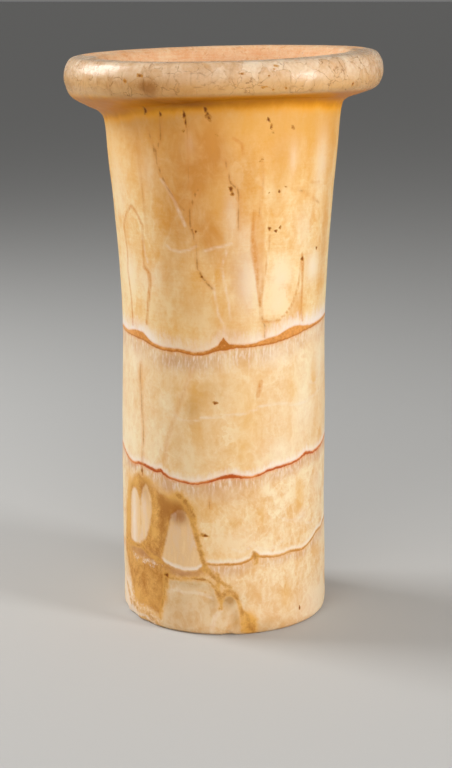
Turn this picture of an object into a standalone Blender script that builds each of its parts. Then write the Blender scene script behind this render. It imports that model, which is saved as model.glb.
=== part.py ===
"""Cylindrical stone jar with a rolled, overhanging rim, carved and drilled from one block.

The jar stands on the XY plane with its axis on Z. +X is to the right and -Y to the front.
Its wall is one closed half section, turned about the axis. The turned form is then made
uneven in the ways a hand-carved jar is: the mouth dips to the front left, the rim's
underside comes lower on the left than at the front, and the axis drifts at neck and foot.
"""

import math

import bpy

MM = 0.001

# Overall sizes
HEIGHT = 214.0 * MM
RIM_RADIUS = 59.15 * MM
RIM_WIDEST_AT = 207.0 * MM
RIM_ROLL = 7.3 * MM
RIM_TURNS_UNDER_AT = 200.9 * MM
MOUTH_RADIUS = 45.6 * MM
NECK_RADIUS = 44.5 * MM
NECK_AT = 195.6 * MM
WAIST_RADIUS = 38.6 * MM
WAIST_AT = 115.0 * MM
FOOT_RADIUS = 39.45 * MM
FOOT_EDGE = 1.8 * MM
BORE_RADIUS = 29.5 * MM
FLOOR_THICKNESS = 15.0 * MM
FLOOR_EDGE = 8.0 * MM

# Fineness of the turned form
TURN_STEPS = 72
CURVE_STEPS = 2

# Unevenness left by the carver. The rises say how much higher the right, the back and both
# sides lie. The underside's has wholly given way to the mouth's at RISES_MEET_AT.
MOUTH_RISES = (1.3 * MM, 1.35 * MM, 0.1 * MM)
UNDERSIDE_RISES = (2.7 * MM, -1.9 * MM, -1.5 * MM)
RISES_MEET_AT = 203.6 * MM
NECK_DRIFT = -0.2 * MM
FOOT_DRIFT = 0.5 * MM
OUT_OF_ROUND = 0.15 * MM

STONE_COLOUR = (0.71, 0.48, 0.24, 1.0)
STONE_ROUGHNESS = 0.38


def clear_scene():
    """Removes every object, so that the file holds only the jar."""
    for obj in list(bpy.data.objects):
        bpy.data.objects.remove(obj)


def smooth_step(low, high, value):
    """Rises smoothly from 0 at low to 1 at high."""
    share = min(1.0, max(0.0, (value - low) / (high - low)))
    return share * share * (3.0 - 2.0 * share)


def arc(centre, size, angles):
    """Points on an ellipse at angles in degrees, as (radius, height)."""
    turns = [math.radians(angle) for angle in angles]
    return [(centre[0] + size[0] * math.cos(turn), centre[1] + size[1] * math.sin(turn)) for turn in turns]


def bore_outline():
    """The inner wall, from the middle of the floor up to just inside the lip."""
    low_radius = BORE_RADIUS - 1.5 * MM
    corner = arc(
        centre=(low_radius - FLOOR_EDGE, FLOOR_THICKNESS + FLOOR_EDGE),
        size=(FLOOR_EDGE, FLOOR_EDGE),
        angles=(-90.0, -60.0, -30.0, 0.0),
    )
    wall = [
        (BORE_RADIUS - 0.7 * MM, 70.0 * MM),
        (BORE_RADIUS + 0.2 * MM, 120.0 * MM),
        (BORE_RADIUS + 2.2 * MM, 162.0 * MM),
        (BORE_RADIUS + 7.0 * MM, 191.0 * MM),
        (MOUTH_RADIUS - 4.2 * MM, 204.5 * MM),
        (MOUTH_RADIUS - 1.5 * MM, HEIGHT - 3.4 * MM),
    ]
    return [(0.0, FLOOR_THICKNESS)] + corner + wall


def rim_outline():
    """The lip, the flat top, the roll and the sloping underside, down to the neck."""
    lip = [
        (MOUTH_RADIUS, HEIGHT - 0.9 * MM),
        (MOUTH_RADIUS + 2.2 * MM, HEIGHT),
        (MOUTH_RADIUS + 6.2 * MM, HEIGHT - 0.2 * MM),
    ]
    roll = arc(
        centre=(RIM_RADIUS - RIM_ROLL * 0.72, RIM_WIDEST_AT),
        size=(RIM_ROLL * 0.72, RIM_ROLL),
        angles=(65.0, 38.0, 0.0, -28.0),
    )
    overhang = RIM_RADIUS - 2.3 * MM - NECK_RADIUS
    slope = RIM_TURNS_UNDER_AT - NECK_AT
    under = [
        (NECK_RADIUS + overhang, RIM_TURNS_UNDER_AT),
        (NECK_RADIUS + 0.79 * overhang, NECK_AT + 0.73 * slope),
        (NECK_RADIUS + 0.50 * overhang, NECK_AT + 0.47 * slope),
        (NECK_RADIUS + 0.05 * overhang, NECK_AT),
    ]
    return lip + roll + under


def wall_outline():
    """The outer wall, from under the rim down to the flat of the foot."""
    flare = [
        (NECK_RADIUS - 0.1 * MM, NECK_AT - 1.6 * MM),
        (WAIST_RADIUS + 4.0 * MM, 176.0 * MM),
        (WAIST_RADIUS + 2.2 * MM, 156.0 * MM),
        (WAIST_RADIUS + 0.7 * MM, 134.0 * MM),
        (WAIST_RADIUS, WAIST_AT),
        (WAIST_RADIUS + 0.45 * MM, 80.0 * MM),
        (WAIST_RADIUS + 0.6 * MM, 44.0 * MM),
        (FOOT_RADIUS, 14.0 * MM),
    ]
    edge = arc(
        centre=(FOOT_RADIUS - FOOT_EDGE, FOOT_EDGE),
        size=(FOOT_EDGE, FOOT_EDGE),
        angles=(0.0, -45.0, -90.0),
    )
    return flare + edge


def half_section(collection):
    """The jar's half section as a mesh of edges: a smooth curve, then the foot's flat to the axis."""
    outline = bore_outline() + rim_outline() + wall_outline()
    curve = bpy.data.curves.new("half_section", "CURVE")
    curve.dimensions = "3D"
    curve.resolution_u = CURVE_STEPS
    spline = curve.splines.new("BEZIER")
    spline.bezier_points.add(len(outline) - 1)
    for point, (radius, height) in zip(spline.bezier_points, outline):
        point.co = (radius, 0.0, height)
        point.handle_left_type = "AUTO"
        point.handle_right_type = "AUTO"
    # The floor stays flat and the foot's edge meets its flat at a corner.
    for place in (0, 1, -1):
        spline.bezier_points[place].handle_left_type = "VECTOR"
        spline.bezier_points[place].handle_right_type = "VECTOR"
    drawn = bpy.data.objects.new("half_section_curve", curve)
    collection.objects.link(drawn)
    bpy.context.view_layer.update()
    graph = bpy.context.evaluated_depsgraph_get()
    mesh = bpy.data.meshes.new_from_object(drawn.evaluated_get(graph))
    bpy.data.objects.remove(drawn)
    last = len(mesh.vertices) - 1
    mesh.vertices[last].co.z = 0.0
    mesh.vertices.add(1)
    mesh.vertices[last + 1].co = (0.0, 0.0, 0.0)
    mesh.edges.add(1)
    mesh.edges[-1].vertices = (last, last + 1)
    profile = bpy.data.objects.new("half_section", mesh)
    collection.objects.link(profile)
    return profile


def turned(profile):
    """The half section turned once round the axis, as a plain mesh."""
    turn = profile.modifiers.new("turn", "SCREW")
    turn.axis = "Z"
    turn.angle = math.radians(360.0)
    turn.steps = TURN_STEPS
    turn.render_steps = TURN_STEPS
    turn.use_merge_vertices = True
    turn.merge_threshold = 0.01 * MM
    bpy.context.view_layer.update()
    graph = bpy.context.evaluated_depsgraph_get()
    mesh = bpy.data.meshes.new_from_object(profile.evaluated_get(graph))
    bpy.data.objects.remove(profile)
    return mesh


def wave(rises, around):
    """The height at an angle of a wave round the jar that is higher on the right, back and sides."""
    right, back, sides = rises
    return right * math.cos(around) + back * math.sin(around) + sides * math.cos(2.0 * around)


def rise(around, height):
    """How far the stone is lifted: a wave at the rim's underside, another at the mouth."""
    up_the_neck = smooth_step(WAIST_AT + 35.0 * MM, NECK_AT, height)
    up_the_rim = min(1.0, max(0.0, (height - NECK_AT) / (RISES_MEET_AT - NECK_AT)))
    underside = wave(UNDERSIDE_RISES, around)
    mouth = wave(MOUTH_RISES, around)
    return up_the_neck * (underside + up_the_rim * (mouth - underside))


def drift(height):
    """How far the axis wanders to +X: a little to the left at the neck, to the right at the foot."""
    to_foot = 1.0 - smooth_step(0.0, 45.0 * MM, height)
    to_neck = smooth_step(WAIST_AT, 184.0 * MM, height) * (1.0 - smooth_step(190.0 * MM, RIM_WIDEST_AT, height))
    return FOOT_DRIFT * to_foot + NECK_DRIFT * to_neck


def swelling(around, height):
    """How far the outer wall stands out from a true circle."""
    waves = math.cos(2.0 * around + 0.6) + 0.5 * math.cos(3.0 * around + height / (17.0 * MM))
    middle = smooth_step(0.0, 30.0 * MM, height) * (1.0 - smooth_step(180.0 * MM, NECK_AT, height))
    return OUT_OF_ROUND * waves * middle


def carve(mesh):
    """Moves the turned form's points to where the carver's hand left them."""
    for vertex in mesh.vertices:
        x, y, height = vertex.co
        radius = math.hypot(x, y)
        around = math.atan2(y, x)
        on_outside = radius > BORE_RADIUS + 8.0 * MM
        grown = 1.0 + (swelling(around, height) / radius if on_outside else 0.0)
        vertex.co.x = x * grown + drift(height)
        vertex.co.y = y * grown
        vertex.co.z = height + rise(around, height)


def stone_material():
    """Banded honey-coloured alabaster, worn to a soft polish."""
    material = bpy.data.materials.new("alabaster")
    material.use_nodes = True
    shader = material.node_tree.nodes["Principled BSDF"]
    shader.inputs["Base Color"].default_value = STONE_COLOUR
    shader.inputs["Roughness"].default_value = STONE_ROUGHNESS
    shader.inputs["Metallic"].default_value = 0.0
    return material


def main():
    """Builds the jar as one closed solid."""
    clear_scene()
    collection = bpy.data.collections.new("alabastron")
    bpy.context.scene.collection.children.link(collection)
    mesh = turned(half_section(collection))
    carve(mesh)
    mesh.shade_smooth()
    mesh.set_sharp_from_angle(angle=math.radians(50.0))
    mesh.materials.append(stone_material())
    alabastron = bpy.data.objects.new("alabastron", mesh)
    collection.objects.link(alabastron)


main()
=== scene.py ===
"""Looks of a tall cylinder jar, carved and drilled from one block of banded alabaster.

The jar is turned, then carved uneven and worn, as its solid is. Its stone grew in layers, and an
ochre inclusion crosses them at the front left of the foot. Sizes are in millimetres until a mesh
is finished. Angles round the jar are in degrees from its front, towards its right-hand side.
"""

import logging
import math
from dataclasses import dataclass
from enum import Enum
from functools import partial
from typing import Any, Callable, ClassVar

import bmesh
import bpy
import numpy as np
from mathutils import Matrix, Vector, noise


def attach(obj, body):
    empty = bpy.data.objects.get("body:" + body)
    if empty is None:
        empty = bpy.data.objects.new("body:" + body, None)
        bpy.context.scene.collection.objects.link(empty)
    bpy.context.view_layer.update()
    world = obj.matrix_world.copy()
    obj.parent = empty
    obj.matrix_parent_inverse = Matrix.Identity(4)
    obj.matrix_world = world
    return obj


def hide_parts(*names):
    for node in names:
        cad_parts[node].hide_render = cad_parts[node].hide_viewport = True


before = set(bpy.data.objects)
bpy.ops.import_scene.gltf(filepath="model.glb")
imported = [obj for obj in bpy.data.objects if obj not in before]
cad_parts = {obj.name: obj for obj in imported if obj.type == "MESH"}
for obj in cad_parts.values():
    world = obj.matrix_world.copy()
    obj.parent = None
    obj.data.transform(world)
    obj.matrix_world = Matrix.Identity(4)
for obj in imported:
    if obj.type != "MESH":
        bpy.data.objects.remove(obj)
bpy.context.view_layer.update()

LOG = logging.getLogger("jar")
TO_METRES = 0.001
Path = tuple[tuple[float, float], ...]
Socket = bpy.types.NodeSocket
Colour = Socket | str
Adder = Callable[..., Socket]

# Settings that many nodes share
SOFT = {"interpolation_type": "SMOOTHSTEP"}
COLOURS = {"output": 2, "data_type": "RGBA"}
TIMES = {"operation": "MULTIPLY"}
TIMES_PLUS = {"operation": "MULTIPLY_ADD"}


def smooth_step(low: float, high: float, value: Any) -> Any:
    """Rises smoothly from 0 at low to 1 at high.

    Args:
        low: Where the rise starts.
        high: Where it ends.
        value: A number or an array of them.

    Returns:
        A share from 0 to 1 for each value.
    """
    share = np.clip((value - low) / (high - low), 0.0, 1.0)
    return share * share * (3.0 - 2.0 * share)


def linear(colour: str) -> tuple[float, float, float, float]:
    """Turns an sRGB hex colour to the linear one that shaders work in.

    Args:
        colour: Six hex digits after a hash.

    Returns:
        Red, green, blue and a full alpha.
    """
    values = [int(colour[place:place + 2], 16) / 255.0 for place in (1, 3, 5)]
    red, green, blue = [v / 12.92 if v <= 0.04045 else ((v + 0.055) / 1.055) ** 2.4 for v in values]
    return red, green, blue, 1.0


def add_node(
    tree: bpy.types.NodeTree, kind: str, sockets: dict[Any, Any], output: int = 0, **settings: Any
) -> Socket | None:
    """Adds a node with its settings, its values and its links.

    Args:
        tree: The node tree that gets it.
        kind: Blender's name for the kind of node, without its first word.
        sockets: A value, a hex colour or an output to link from, for inputs by name or number.
        output: The number of the output that is used.
        settings: The node's own properties.

    Returns:
        The output that is used, or None where the node has none.
    """
    node = tree.nodes.new("ShaderNode" + kind)
    for name, value in settings.items():
        setattr(node, name, value)
    for place, value in sockets.items():
        if isinstance(value, bpy.types.NodeSocket):
            tree.links.new(value, node.inputs[place])
        else:
            node.inputs[place].default_value = linear(value) if isinstance(value, str) else value
    return node.outputs[output] if node.outputs else None


class Mark(Enum):
    """What the stone shows at a place. Each is an attribute of the mesh with this name."""

    OCHRE = "ochre"
    FAN = "fan"
    CHALK = "chalk"
    CORE = "core"
    HAIRLINE = "hairline"
    VEIN = "vein"
    HEALED = "healed"
    LENS = "lens"
    AMBER = "amber"
    # Pale calcite, and on the flanks partly painted sheen
    PALE = "pale"
    GOLDEN = "golden"
    UMBER = "umber"
    WEDGE = "wedge"
    ROSE = "rose"
    PIT = "pit"
    # Painted amber glow and painted shade under the rim
    GROOVE = "groove"
    RIM = "rim"
    BORE = "bore"


class EdgePart(Enum):
    """What is known of a layer's edge at a place. Each ends the name of an attribute of the mesh."""

    ABOVE = ""
    DEPTH = "_depth"
    STRENGTH = "_strength"
    WHITE = "_white"


Edge = dict[EdgePart, Socket]


@dataclass
class Places:
    """Where each point of the jar's surface is.

    Attributes:
        around: Degrees from the front, towards the right.
        height: Millimetres above the foot's flat.
        section_radius: The radius that the point had in the plain turned form.
        section_height: The height that it had there.
        outside: 1 on the outer wall and the rim, and 0 in the bore.
    """

    around: np.ndarray
    height: np.ndarray
    section_radius: np.ndarray
    section_height: np.ndarray
    outside: np.ndarray

    def unrolled(self, near: float, degree: float) -> np.ndarray:
        """Lays the wall out flat.

        Args:
            near: The angle that the cut is furthest from.
            degree: The width of a degree in millimetres.

        Returns:
            A row of across and up for each point, in millimetres.
        """
        turned = (self.around - near + 180.0) % 360.0 - 180.0
        return np.stack([turned * degree, self.height], axis=1)


# A degree round the waist, and one higher up where most pits are, in millimetres
DEGREE = 0.682
DEGREE_HIGH_UP = 1.1 * DEGREE


def path_distances(points: np.ndarray, path: np.ndarray, widths: np.ndarray | None = None) -> np.ndarray:
    """Measures how far points are from a path, over the path's half width where it has one.

    Args:
        points: A row of across and up for each point.
        path: A row of across and up for each corner of the path.
        widths: The path's width at each corner, or None to have plain distances.

    Returns:
        The smallest distance of each point, divided by the half width there if widths are given.
    """
    nearest = np.full(len(points), 1e9)
    for place in range(len(path) - 1):
        start, step = path[place], path[place + 1] - path[place]
        share = np.clip(((points - start) @ step) / max(step @ step, 1e-9), 0.0, 1.0)
        distance = np.linalg.norm(points - start - share[:, None] * step, axis=1)
        if widths is not None:
            width = widths[place] + share * (widths[place + 1] - widths[place])
            distance = distance / (0.5 * width)
        nearest = np.minimum(nearest, distance)
    return nearest


@dataclass(frozen=True)
class Patch:
    """A part of the wall with a sharp outline.

    Attributes:
        outline: Its corners, as angle and height.
        FURTHEST: The largest distance from the outline that is told apart, in millimetres.
    """

    outline: Path
    FURTHEST: ClassVar[float] = 12.0

    def depth(self, places: Places) -> np.ndarray:
        """Measures how far inside the outline each point is.

        Args:
            places: The points.

        Returns:
            Millimetres from the edge, above 0 inside.
        """
        corners = np.array(self.outline + self.outline[:1])
        near = float(corners[:, 0].mean())
        points = places.unrolled(near, DEGREE)
        path = (corners - (near, 0.0)) * (DEGREE, 1.0)
        inside = np.zeros(len(points), dtype=bool)
        for (left, low), (right, high) in zip(path[:-1], path[1:]):
            crossed = (low > points[:, 1]) != (high > points[:, 1])
            across = left + (points[:, 1] - low) / (high - low if high != low else 1e-9) * (right - left)
            inside ^= crossed & (points[:, 0] < across)
        distance = np.minimum(path_distances(points, path), self.FURTHEST)
        return np.where(inside, distance, -distance)

    def lay(self, places: Places, values: np.ndarray) -> np.ndarray:
        """Adds the patch to what its mark already shows."""
        return np.maximum(values, np.where(places.outside > 0.5, self.depth(places), -self.FURTHEST))


@dataclass(frozen=True)
class Crack:
    """A line in the stone, wider in some places than in others.

    Attributes:
        path: Its corners, as angle and height.
        widths: Its width at each corner in millimetres, or one for all of them.
        strength: 1 for a full line and less for a faint one.
        FINEST: The width below which a line is drawn this wide and fainter instead.
        FADING: How much fainter a line without any width would be.
        NOWHERE: What a place far from every line shows.
    """

    path: Path
    widths: tuple[float, ...]
    strength: float = 1.0
    FINEST: ClassVar[float] = 0.8
    FADING: ClassVar[float] = 0.9
    NOWHERE: ClassVar[float] = -4.0

    def lay(self, places: Places, values: np.ndarray) -> np.ndarray:
        """Adds the crack to what its mark already shows.

        Args:
            places: The points.
            values: What the mark shows so far, 1 in the middle of a line and 0 at its edge.

        Returns:
            The new values.
        """
        corners = np.array(self.path)
        near = float(corners[:, 0].mean())
        widths = np.array(self.widths * len(corners) if len(self.widths) == 1 else self.widths)
        strength = self.strength - self.FADING * max(0.0, 1.0 - widths.mean() / self.FINEST)
        widths = np.maximum(widths, self.FINEST)
        path = (corners - (near, 0.0)) * (DEGREE, 1.0)
        reach = strength - path_distances(places.unrolled(near, DEGREE), path, widths)
        return np.maximum(values, np.where(places.outside > 0.5, reach, self.NOWHERE))


@dataclass(frozen=True)
class Stain:
    """A soft stain, strongest in its middle.

    Attributes:
        around: Its middle's angle.
        height: Its middle's height.
        across: How far it fades out to the sides, in degrees.
        up: How far it fades out up and down, in millimetres.
        strength: How strong it is in its middle.
    """

    around: float
    height: float
    across: float
    up: float
    strength: float

    def lay(self, places: Places, values: np.ndarray) -> np.ndarray:
        """Adds the stain to what its mark already shows."""
        across = ((places.around - self.around + 180.0) % 360.0 - 180.0) / self.across
        up = (places.height - self.height) / self.up
        return values + self.strength * np.exp(-across * across - up * up) * places.outside


@dataclass(frozen=True)
class Pit:
    """A small hole in the surface with dirt in it.

    Attributes:
        around: Its middle's angle.
        height: Its middle's height.
        half_width: Its half width in millimetres.
        half_height: Its half height.
        depth: How deep it is.
        lean: How far its top leans to the right, in degrees from upright.
    """

    around: float
    height: float
    half_width: float
    half_height: float
    depth: float
    lean: float = 0.0

    def shares(self, places: Places) -> np.ndarray:
        """Says how deep in the pit each point is.

        Args:
            places: The points.

        Returns:
            1 at the bottom, falling to 0 at the edge.
        """
        points = places.unrolled(self.around, DEGREE_HIGH_UP) - (0.0, self.height)
        turn = math.radians(self.lean)
        across = (points[:, 0] * math.cos(turn) - points[:, 1] * math.sin(turn)) / self.half_width
        up = (points[:, 0] * math.sin(turn) + points[:, 1] * math.cos(turn)) / self.half_height
        # Three lobes, turned otherwise in each pit
        lobes = 1.0 + 0.35 * np.sin(3.0 * np.arctan2(up, across) + 9.0 * self.height)
        return np.exp(-(((across * across + up * up) * lobes) ** 1.4)) * places.outside

    def lay(self, places: Places, values: np.ndarray) -> np.ndarray:
        """Adds the pit's dirt to what the mark already shows."""
        return np.maximum(values, self.shares(places))


@dataclass(frozen=True)
class Course:
    """The edge between two of the stone's layers, as a line round the jar.

    Attributes:
        name: The start of its attributes' names.
        heights: The height of its lower edge at angles round the jar.
        depths: How thick its line is at such angles.
        strengths: How strong the line's colour is at such angles.
        whites: How white the calcite above it is at such angles.
    """

    name: str
    heights: Path
    depths: Path
    strengths: Path
    whites: Path

    def attributes(self, places: Places) -> dict[str, np.ndarray]:
        """Measures each point against the line.

        Args:
            places: The points.

        Returns:
            The height above the lower edge, and the line's thickness, strength and whiteness.
        """
        height, depth, strength, white = (
            np.interp(places.around, *np.array(path).T, period=360.0)
            for path in (self.heights, self.depths, self.strengths, self.whites)
        )
        return {
            self.name + EdgePart.ABOVE.value: np.where(places.outside > 0.5, places.height - height, 60.0),
            self.name + EdgePart.DEPTH.value: depth,
            self.name + EdgePart.STRENGTH.value: strength * places.outside,
            self.name + EdgePart.WHITE.value: white * places.outside,
        }


@dataclass(frozen=True)
class JarForm:
    """The jar's turned form and the unevenness that the carver left.

    The sizes are those of its solid. The rises say how much higher the right, the back and both
    sides lie.
    """

    height: float = 214.0
    rim_radius: float = 59.15
    rim_widest_at: float = 207.0
    rim_roll: float = 7.3
    rim_turns_under_at: float = 200.9
    mouth_radius: float = 45.6
    neck_radius: float = 44.5
    neck_at: float = 195.6
    waist_radius: float = 38.6
    waist_at: float = 115.0
    foot_radius: float = 39.45
    foot_edge: float = 1.8
    bore_radius: float = 29.5
    floor_thickness: float = 15.0
    floor_edge: float = 8.0
    mouth_rises: tuple[float, float, float] = (1.3, 1.35, 0.1)
    underside_rises: tuple[float, float, float] = (2.7, -1.9, -1.5)
    rises_meet_at: float = 203.6
    neck_drift: float = -0.2
    foot_drift: float = 0.5
    out_of_round: float = 0.15
    turn_steps: int = 236
    curve_steps: int = 28
    wall_spacing: float = 1.05
    rim_spacing: float = 0.8
    bore_spacing: float = 2.0
    flat_spacing: float = 4.0

    @staticmethod
    def arc(centre: tuple[float, float], size: tuple[float, float], angles: tuple[float, ...]) -> list:
        """Finds points on an ellipse.

        Args:
            centre: Its centre, as radius and height.
            size: Its half width and half height.
            angles: Where the points are, in degrees.

        Returns:
            The points, as radius and height.
        """
        turns = [math.radians(angle) for angle in angles]
        return [(centre[0] + size[0] * math.cos(t), centre[1] + size[1] * math.sin(t)) for t in turns]

    def bore_outline(self) -> list:
        """The inner wall, from the middle of the floor up to just inside the lip."""
        low_radius = self.bore_radius - 1.5
        centre = (low_radius - self.floor_edge, self.floor_thickness + self.floor_edge)
        corner = self.arc(centre, (self.floor_edge, self.floor_edge), (-90.0, -60.0, -30.0, 0.0))
        wall = [
            (self.bore_radius - 0.7, 70.0),
            (self.bore_radius + 0.2, 120.0),
            (self.bore_radius + 2.2, 162.0),
            (self.bore_radius + 7.0, 191.0),
            (self.mouth_radius - 4.2, 204.5),
            (self.mouth_radius - 1.5, self.height - 3.4),
        ]
        return [(0.0, self.floor_thickness)] + corner + wall

    def rim_outline(self) -> list:
        """The lip, the flat top, the roll and the sloping underside, down to the neck."""
        lip = [
            (self.mouth_radius, self.height - 0.9),
            (self.mouth_radius + 2.2, self.height),
            (self.mouth_radius + 6.2, self.height - 0.2),
        ]
        centre = (self.rim_radius - self.rim_roll * 0.72, self.rim_widest_at)
        roll = self.arc(centre, (self.rim_roll * 0.72, self.rim_roll), (65.0, 38.0, 0.0, -28.0))
        overhang = self.rim_radius - 2.3 - self.neck_radius
        slope = self.rim_turns_under_at - self.neck_at
        shares = ((1.0, 1.0), (0.79, 0.73), (0.50, 0.47), (0.05, 0.0))
        under = [(self.neck_radius + out * overhang, self.neck_at + up * slope) for out, up in shares]
        return lip + roll + under

    def wall_outline(self) -> list:
        """The outer wall, from under the rim down to the flat of the foot."""
        flare = [
            (self.neck_radius - 0.1, self.neck_at - 1.6),
            (self.waist_radius + 4.0, 176.0),
            (self.waist_radius + 2.2, 156.0),
            (self.waist_radius + 0.7, 134.0),
            (self.waist_radius, self.waist_at),
            (self.waist_radius + 0.45, 80.0),
            (self.waist_radius + 0.6, 44.0),
            (self.foot_radius, 14.0),
        ]
        centre = (self.foot_radius - self.foot_edge, self.foot_edge)
        return flare + self.arc(centre, (self.foot_edge, self.foot_edge), (0.0, -45.0, -90.0))

    def half_section(self) -> bmesh.types.BMesh:
        """Draws the half section as a smooth curve and closes it along the foot's flat.

        Returns:
            A chain of edges from the middle of the floor to the middle of the foot.
        """
        outline = self.bore_outline() + self.rim_outline() + self.wall_outline()
        curve = bpy.data.curves.new("half_section", "CURVE")
        curve.dimensions = "3D"
        curve.resolution_u = self.curve_steps
        spline = curve.splines.new("BEZIER")
        spline.bezier_points.add(len(outline) - 1)
        for point, (radius, height) in zip(spline.bezier_points, outline):
            point.co = (radius, 0.0, height)
            point.handle_left_type = "AUTO"
            point.handle_right_type = "AUTO"
        for place in (0, 1, -1):
            spline.bezier_points[place].handle_left_type = "VECTOR"
            spline.bezier_points[place].handle_right_type = "VECTOR"
        drawn = bpy.data.objects.new("half_section", curve)
        bpy.context.scene.collection.objects.link(drawn)
        bpy.context.view_layer.update()
        graph = bpy.context.evaluated_depsgraph_get()
        mesh = bpy.data.meshes.new_from_object(drawn.evaluated_get(graph))
        bpy.data.objects.remove(drawn)
        bpy.data.curves.remove(curve)
        chain = bmesh.new()
        chain.from_mesh(mesh)
        bpy.data.meshes.remove(mesh)
        chain.verts.ensure_lookup_table()
        last = chain.verts[-1]
        last.co.z = 0.0
        # The foot's flat, as one edge and then in steps
        middle = chain.verts.new((0.0, 0.0, 0.0))
        flat = chain.edges.new((last, middle))
        cuts = round(last.co.x / self.flat_spacing)
        bmesh.ops.subdivide_edges(chain, edges=[flat], cuts=cuts)
        return chain

    def spacing(self, radius: float, height: float) -> float:
        """Says how far apart the section's points are wanted.

        Args:
            radius: The place's radius.
            height: Its height.

        Returns:
            The distance in millimetres.
        """
        if height < 0.01 or (height < self.floor_thickness + 0.01 and radius < self.bore_radius):
            return self.flat_spacing
        if radius < self.middle_radius(height):
            return self.bore_spacing
        return self.rim_spacing if height > self.neck_at - 5.0 else self.wall_spacing

    @staticmethod
    def middle_radius(height: Any) -> Any:
        """The radius halfway between the bore and the outer wall at a height or heights."""
        heights = (0.0, 130.0, 162.0, 191.0, 204.5, 213.0)
        return np.interp(height, heights, (33.0, 34.0, 36.0, 40.0, 44.5, 46.4))

    def thin(self, chain: bmesh.types.BMesh) -> None:
        """Takes out points of the section that stand closer than is wanted.

        Args:
            chain: The half section, which is changed.
        """
        chain.verts.ensure_lookup_table()
        ends = [vert for vert in chain.verts if len(vert.link_edges) == 1]
        vert = next(end for end in ends if end.co.z > 1.0)
        edge = vert.link_edges[0]
        gone, walked = [], 0.0
        while True:
            walked += edge.calc_length()
            vert = edge.other_vert(vert)
            if len(vert.link_edges) == 1:
                break
            edge = next(link for link in vert.link_edges if link != edge)
            if walked + 0.5 * edge.calc_length() < self.spacing(vert.co.x, vert.co.z):
                gone.append(vert)
            else:
                walked = 0.0
        bmesh.ops.dissolve_verts(chain, verts=gone)

    def turned(self) -> bmesh.types.BMesh:
        """Turns the half section once round the axis.

        Returns:
            A closed form in millimetres with its faces outwards.
        """
        form = self.half_section()
        self.thin(form)
        bmesh.ops.spin(
            form,
            geom=form.verts[:] + form.edges[:],
            cent=(0.0, 0.0, 0.0),
            axis=(0.0, 0.0, 1.0),
            angle=math.tau,
            steps=self.turn_steps,
            use_merge=True,
            use_duplicate=False,
        )
        bmesh.ops.remove_doubles(form, verts=form.verts[:], dist=0.002)
        bmesh.ops.recalc_face_normals(form, faces=form.faces[:])
        return form

    def refine(self, form: bmesh.types.BMesh, spots: list[tuple[Vector, float]], cuts: int = 2) -> None:
        """Splits the faces near some spots into finer ones.

        Args:
            form: The turned form, which is changed.
            spots: The middle and the reach of each.
            cuts: How many times an edge is cut.
        """
        wanted = set()
        for middle, reach in spots:
            near = [vert for vert in form.verts if (vert.co - middle).length_squared < reach * reach]
            wanted.update(edge for vert in near for edge in vert.link_edges)
        edges = [edge for edge in form.edges if edge in wanted]
        bmesh.ops.subdivide_edges(form, edges=edges, cuts=cuts, use_grid_fill=True)

    @staticmethod
    def wave(rises: tuple[float, float, float], turn: np.ndarray) -> np.ndarray:
        """The height of a wave round the jar at angles from +X, in radians."""
        return rises[0] * np.cos(turn) + rises[1] * np.sin(turn) + rises[2] * np.cos(2.0 * turn)

    def rise(self, turn: np.ndarray, height: np.ndarray) -> np.ndarray:
        """Says how far the stone is lifted: a wave at the rim's underside, another at the mouth.

        Args:
            turn: Angles from +X in radians.
            height: Heights in the turned form.

        Returns:
            How far each point is lifted.
        """
        up_the_neck = smooth_step(self.waist_at + 35.0, self.neck_at, height)
        up_the_rim = np.clip((height - self.neck_at) / (self.rises_meet_at - self.neck_at), 0.0, 1.0)
        underside = self.wave(self.underside_rises, turn)
        return up_the_neck * (underside + up_the_rim * (self.wave(self.mouth_rises, turn) - underside))

    def drift(self, height: np.ndarray) -> np.ndarray:
        """Says how far the axis wanders to +X.

        Args:
            height: Heights in the turned form.

        Returns:
            How far each point is moved.
        """
        to_foot = 1.0 - smooth_step(0.0, 45.0, height)
        to_neck = smooth_step(self.waist_at, 184.0, height)
        to_neck = to_neck * (1.0 - smooth_step(190.0, self.rim_widest_at, height))
        return self.foot_drift * to_foot + self.neck_drift * to_neck

    def swelling(self, turn: np.ndarray, height: np.ndarray) -> np.ndarray:
        """Says how far the outer wall stands out from a true circle.

        Args:
            turn: Angles from +X in radians.
            height: Heights in the turned form.

        Returns:
            How much larger the radius is.
        """
        waves = np.cos(2.0 * turn + 0.6) + 0.5 * np.cos(3.0 * turn + height / 17.0)
        middle = smooth_step(0.0, 30.0, height) * (1.0 - smooth_step(180.0, self.neck_at, height))
        return self.out_of_round * waves * middle

    def carve(self, form: bmesh.types.BMesh) -> Places:
        """Moves the turned form's points to where the carver's hand left them.

        Args:
            form: The turned form, which is changed.

        Returns:
            Where each point now is.
        """
        points = np.array([vert.co[:] for vert in form.verts])
        radius = np.hypot(points[:, 0], points[:, 1])
        turn = np.arctan2(points[:, 1], points[:, 0])
        height = points[:, 2].copy()
        outside = (radius > self.middle_radius(height)) | (height < 1.0)
        grown = 1.0 + np.where(outside, self.swelling(turn, height), 0.0) / np.maximum(radius, 1.0)
        points[:, 0] = points[:, 0] * grown + self.drift(height)
        points[:, 1] = points[:, 1] * grown
        points[:, 2] = height + self.rise(turn, height)
        for vert, point in zip(form.verts, points):
            vert.co = point
        return Places(
            around=np.degrees(np.arctan2(points[:, 0], -points[:, 1])),
            height=points[:, 2],
            section_radius=radius,
            section_height=height,
            outside=outside.astype(float),
        )


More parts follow.
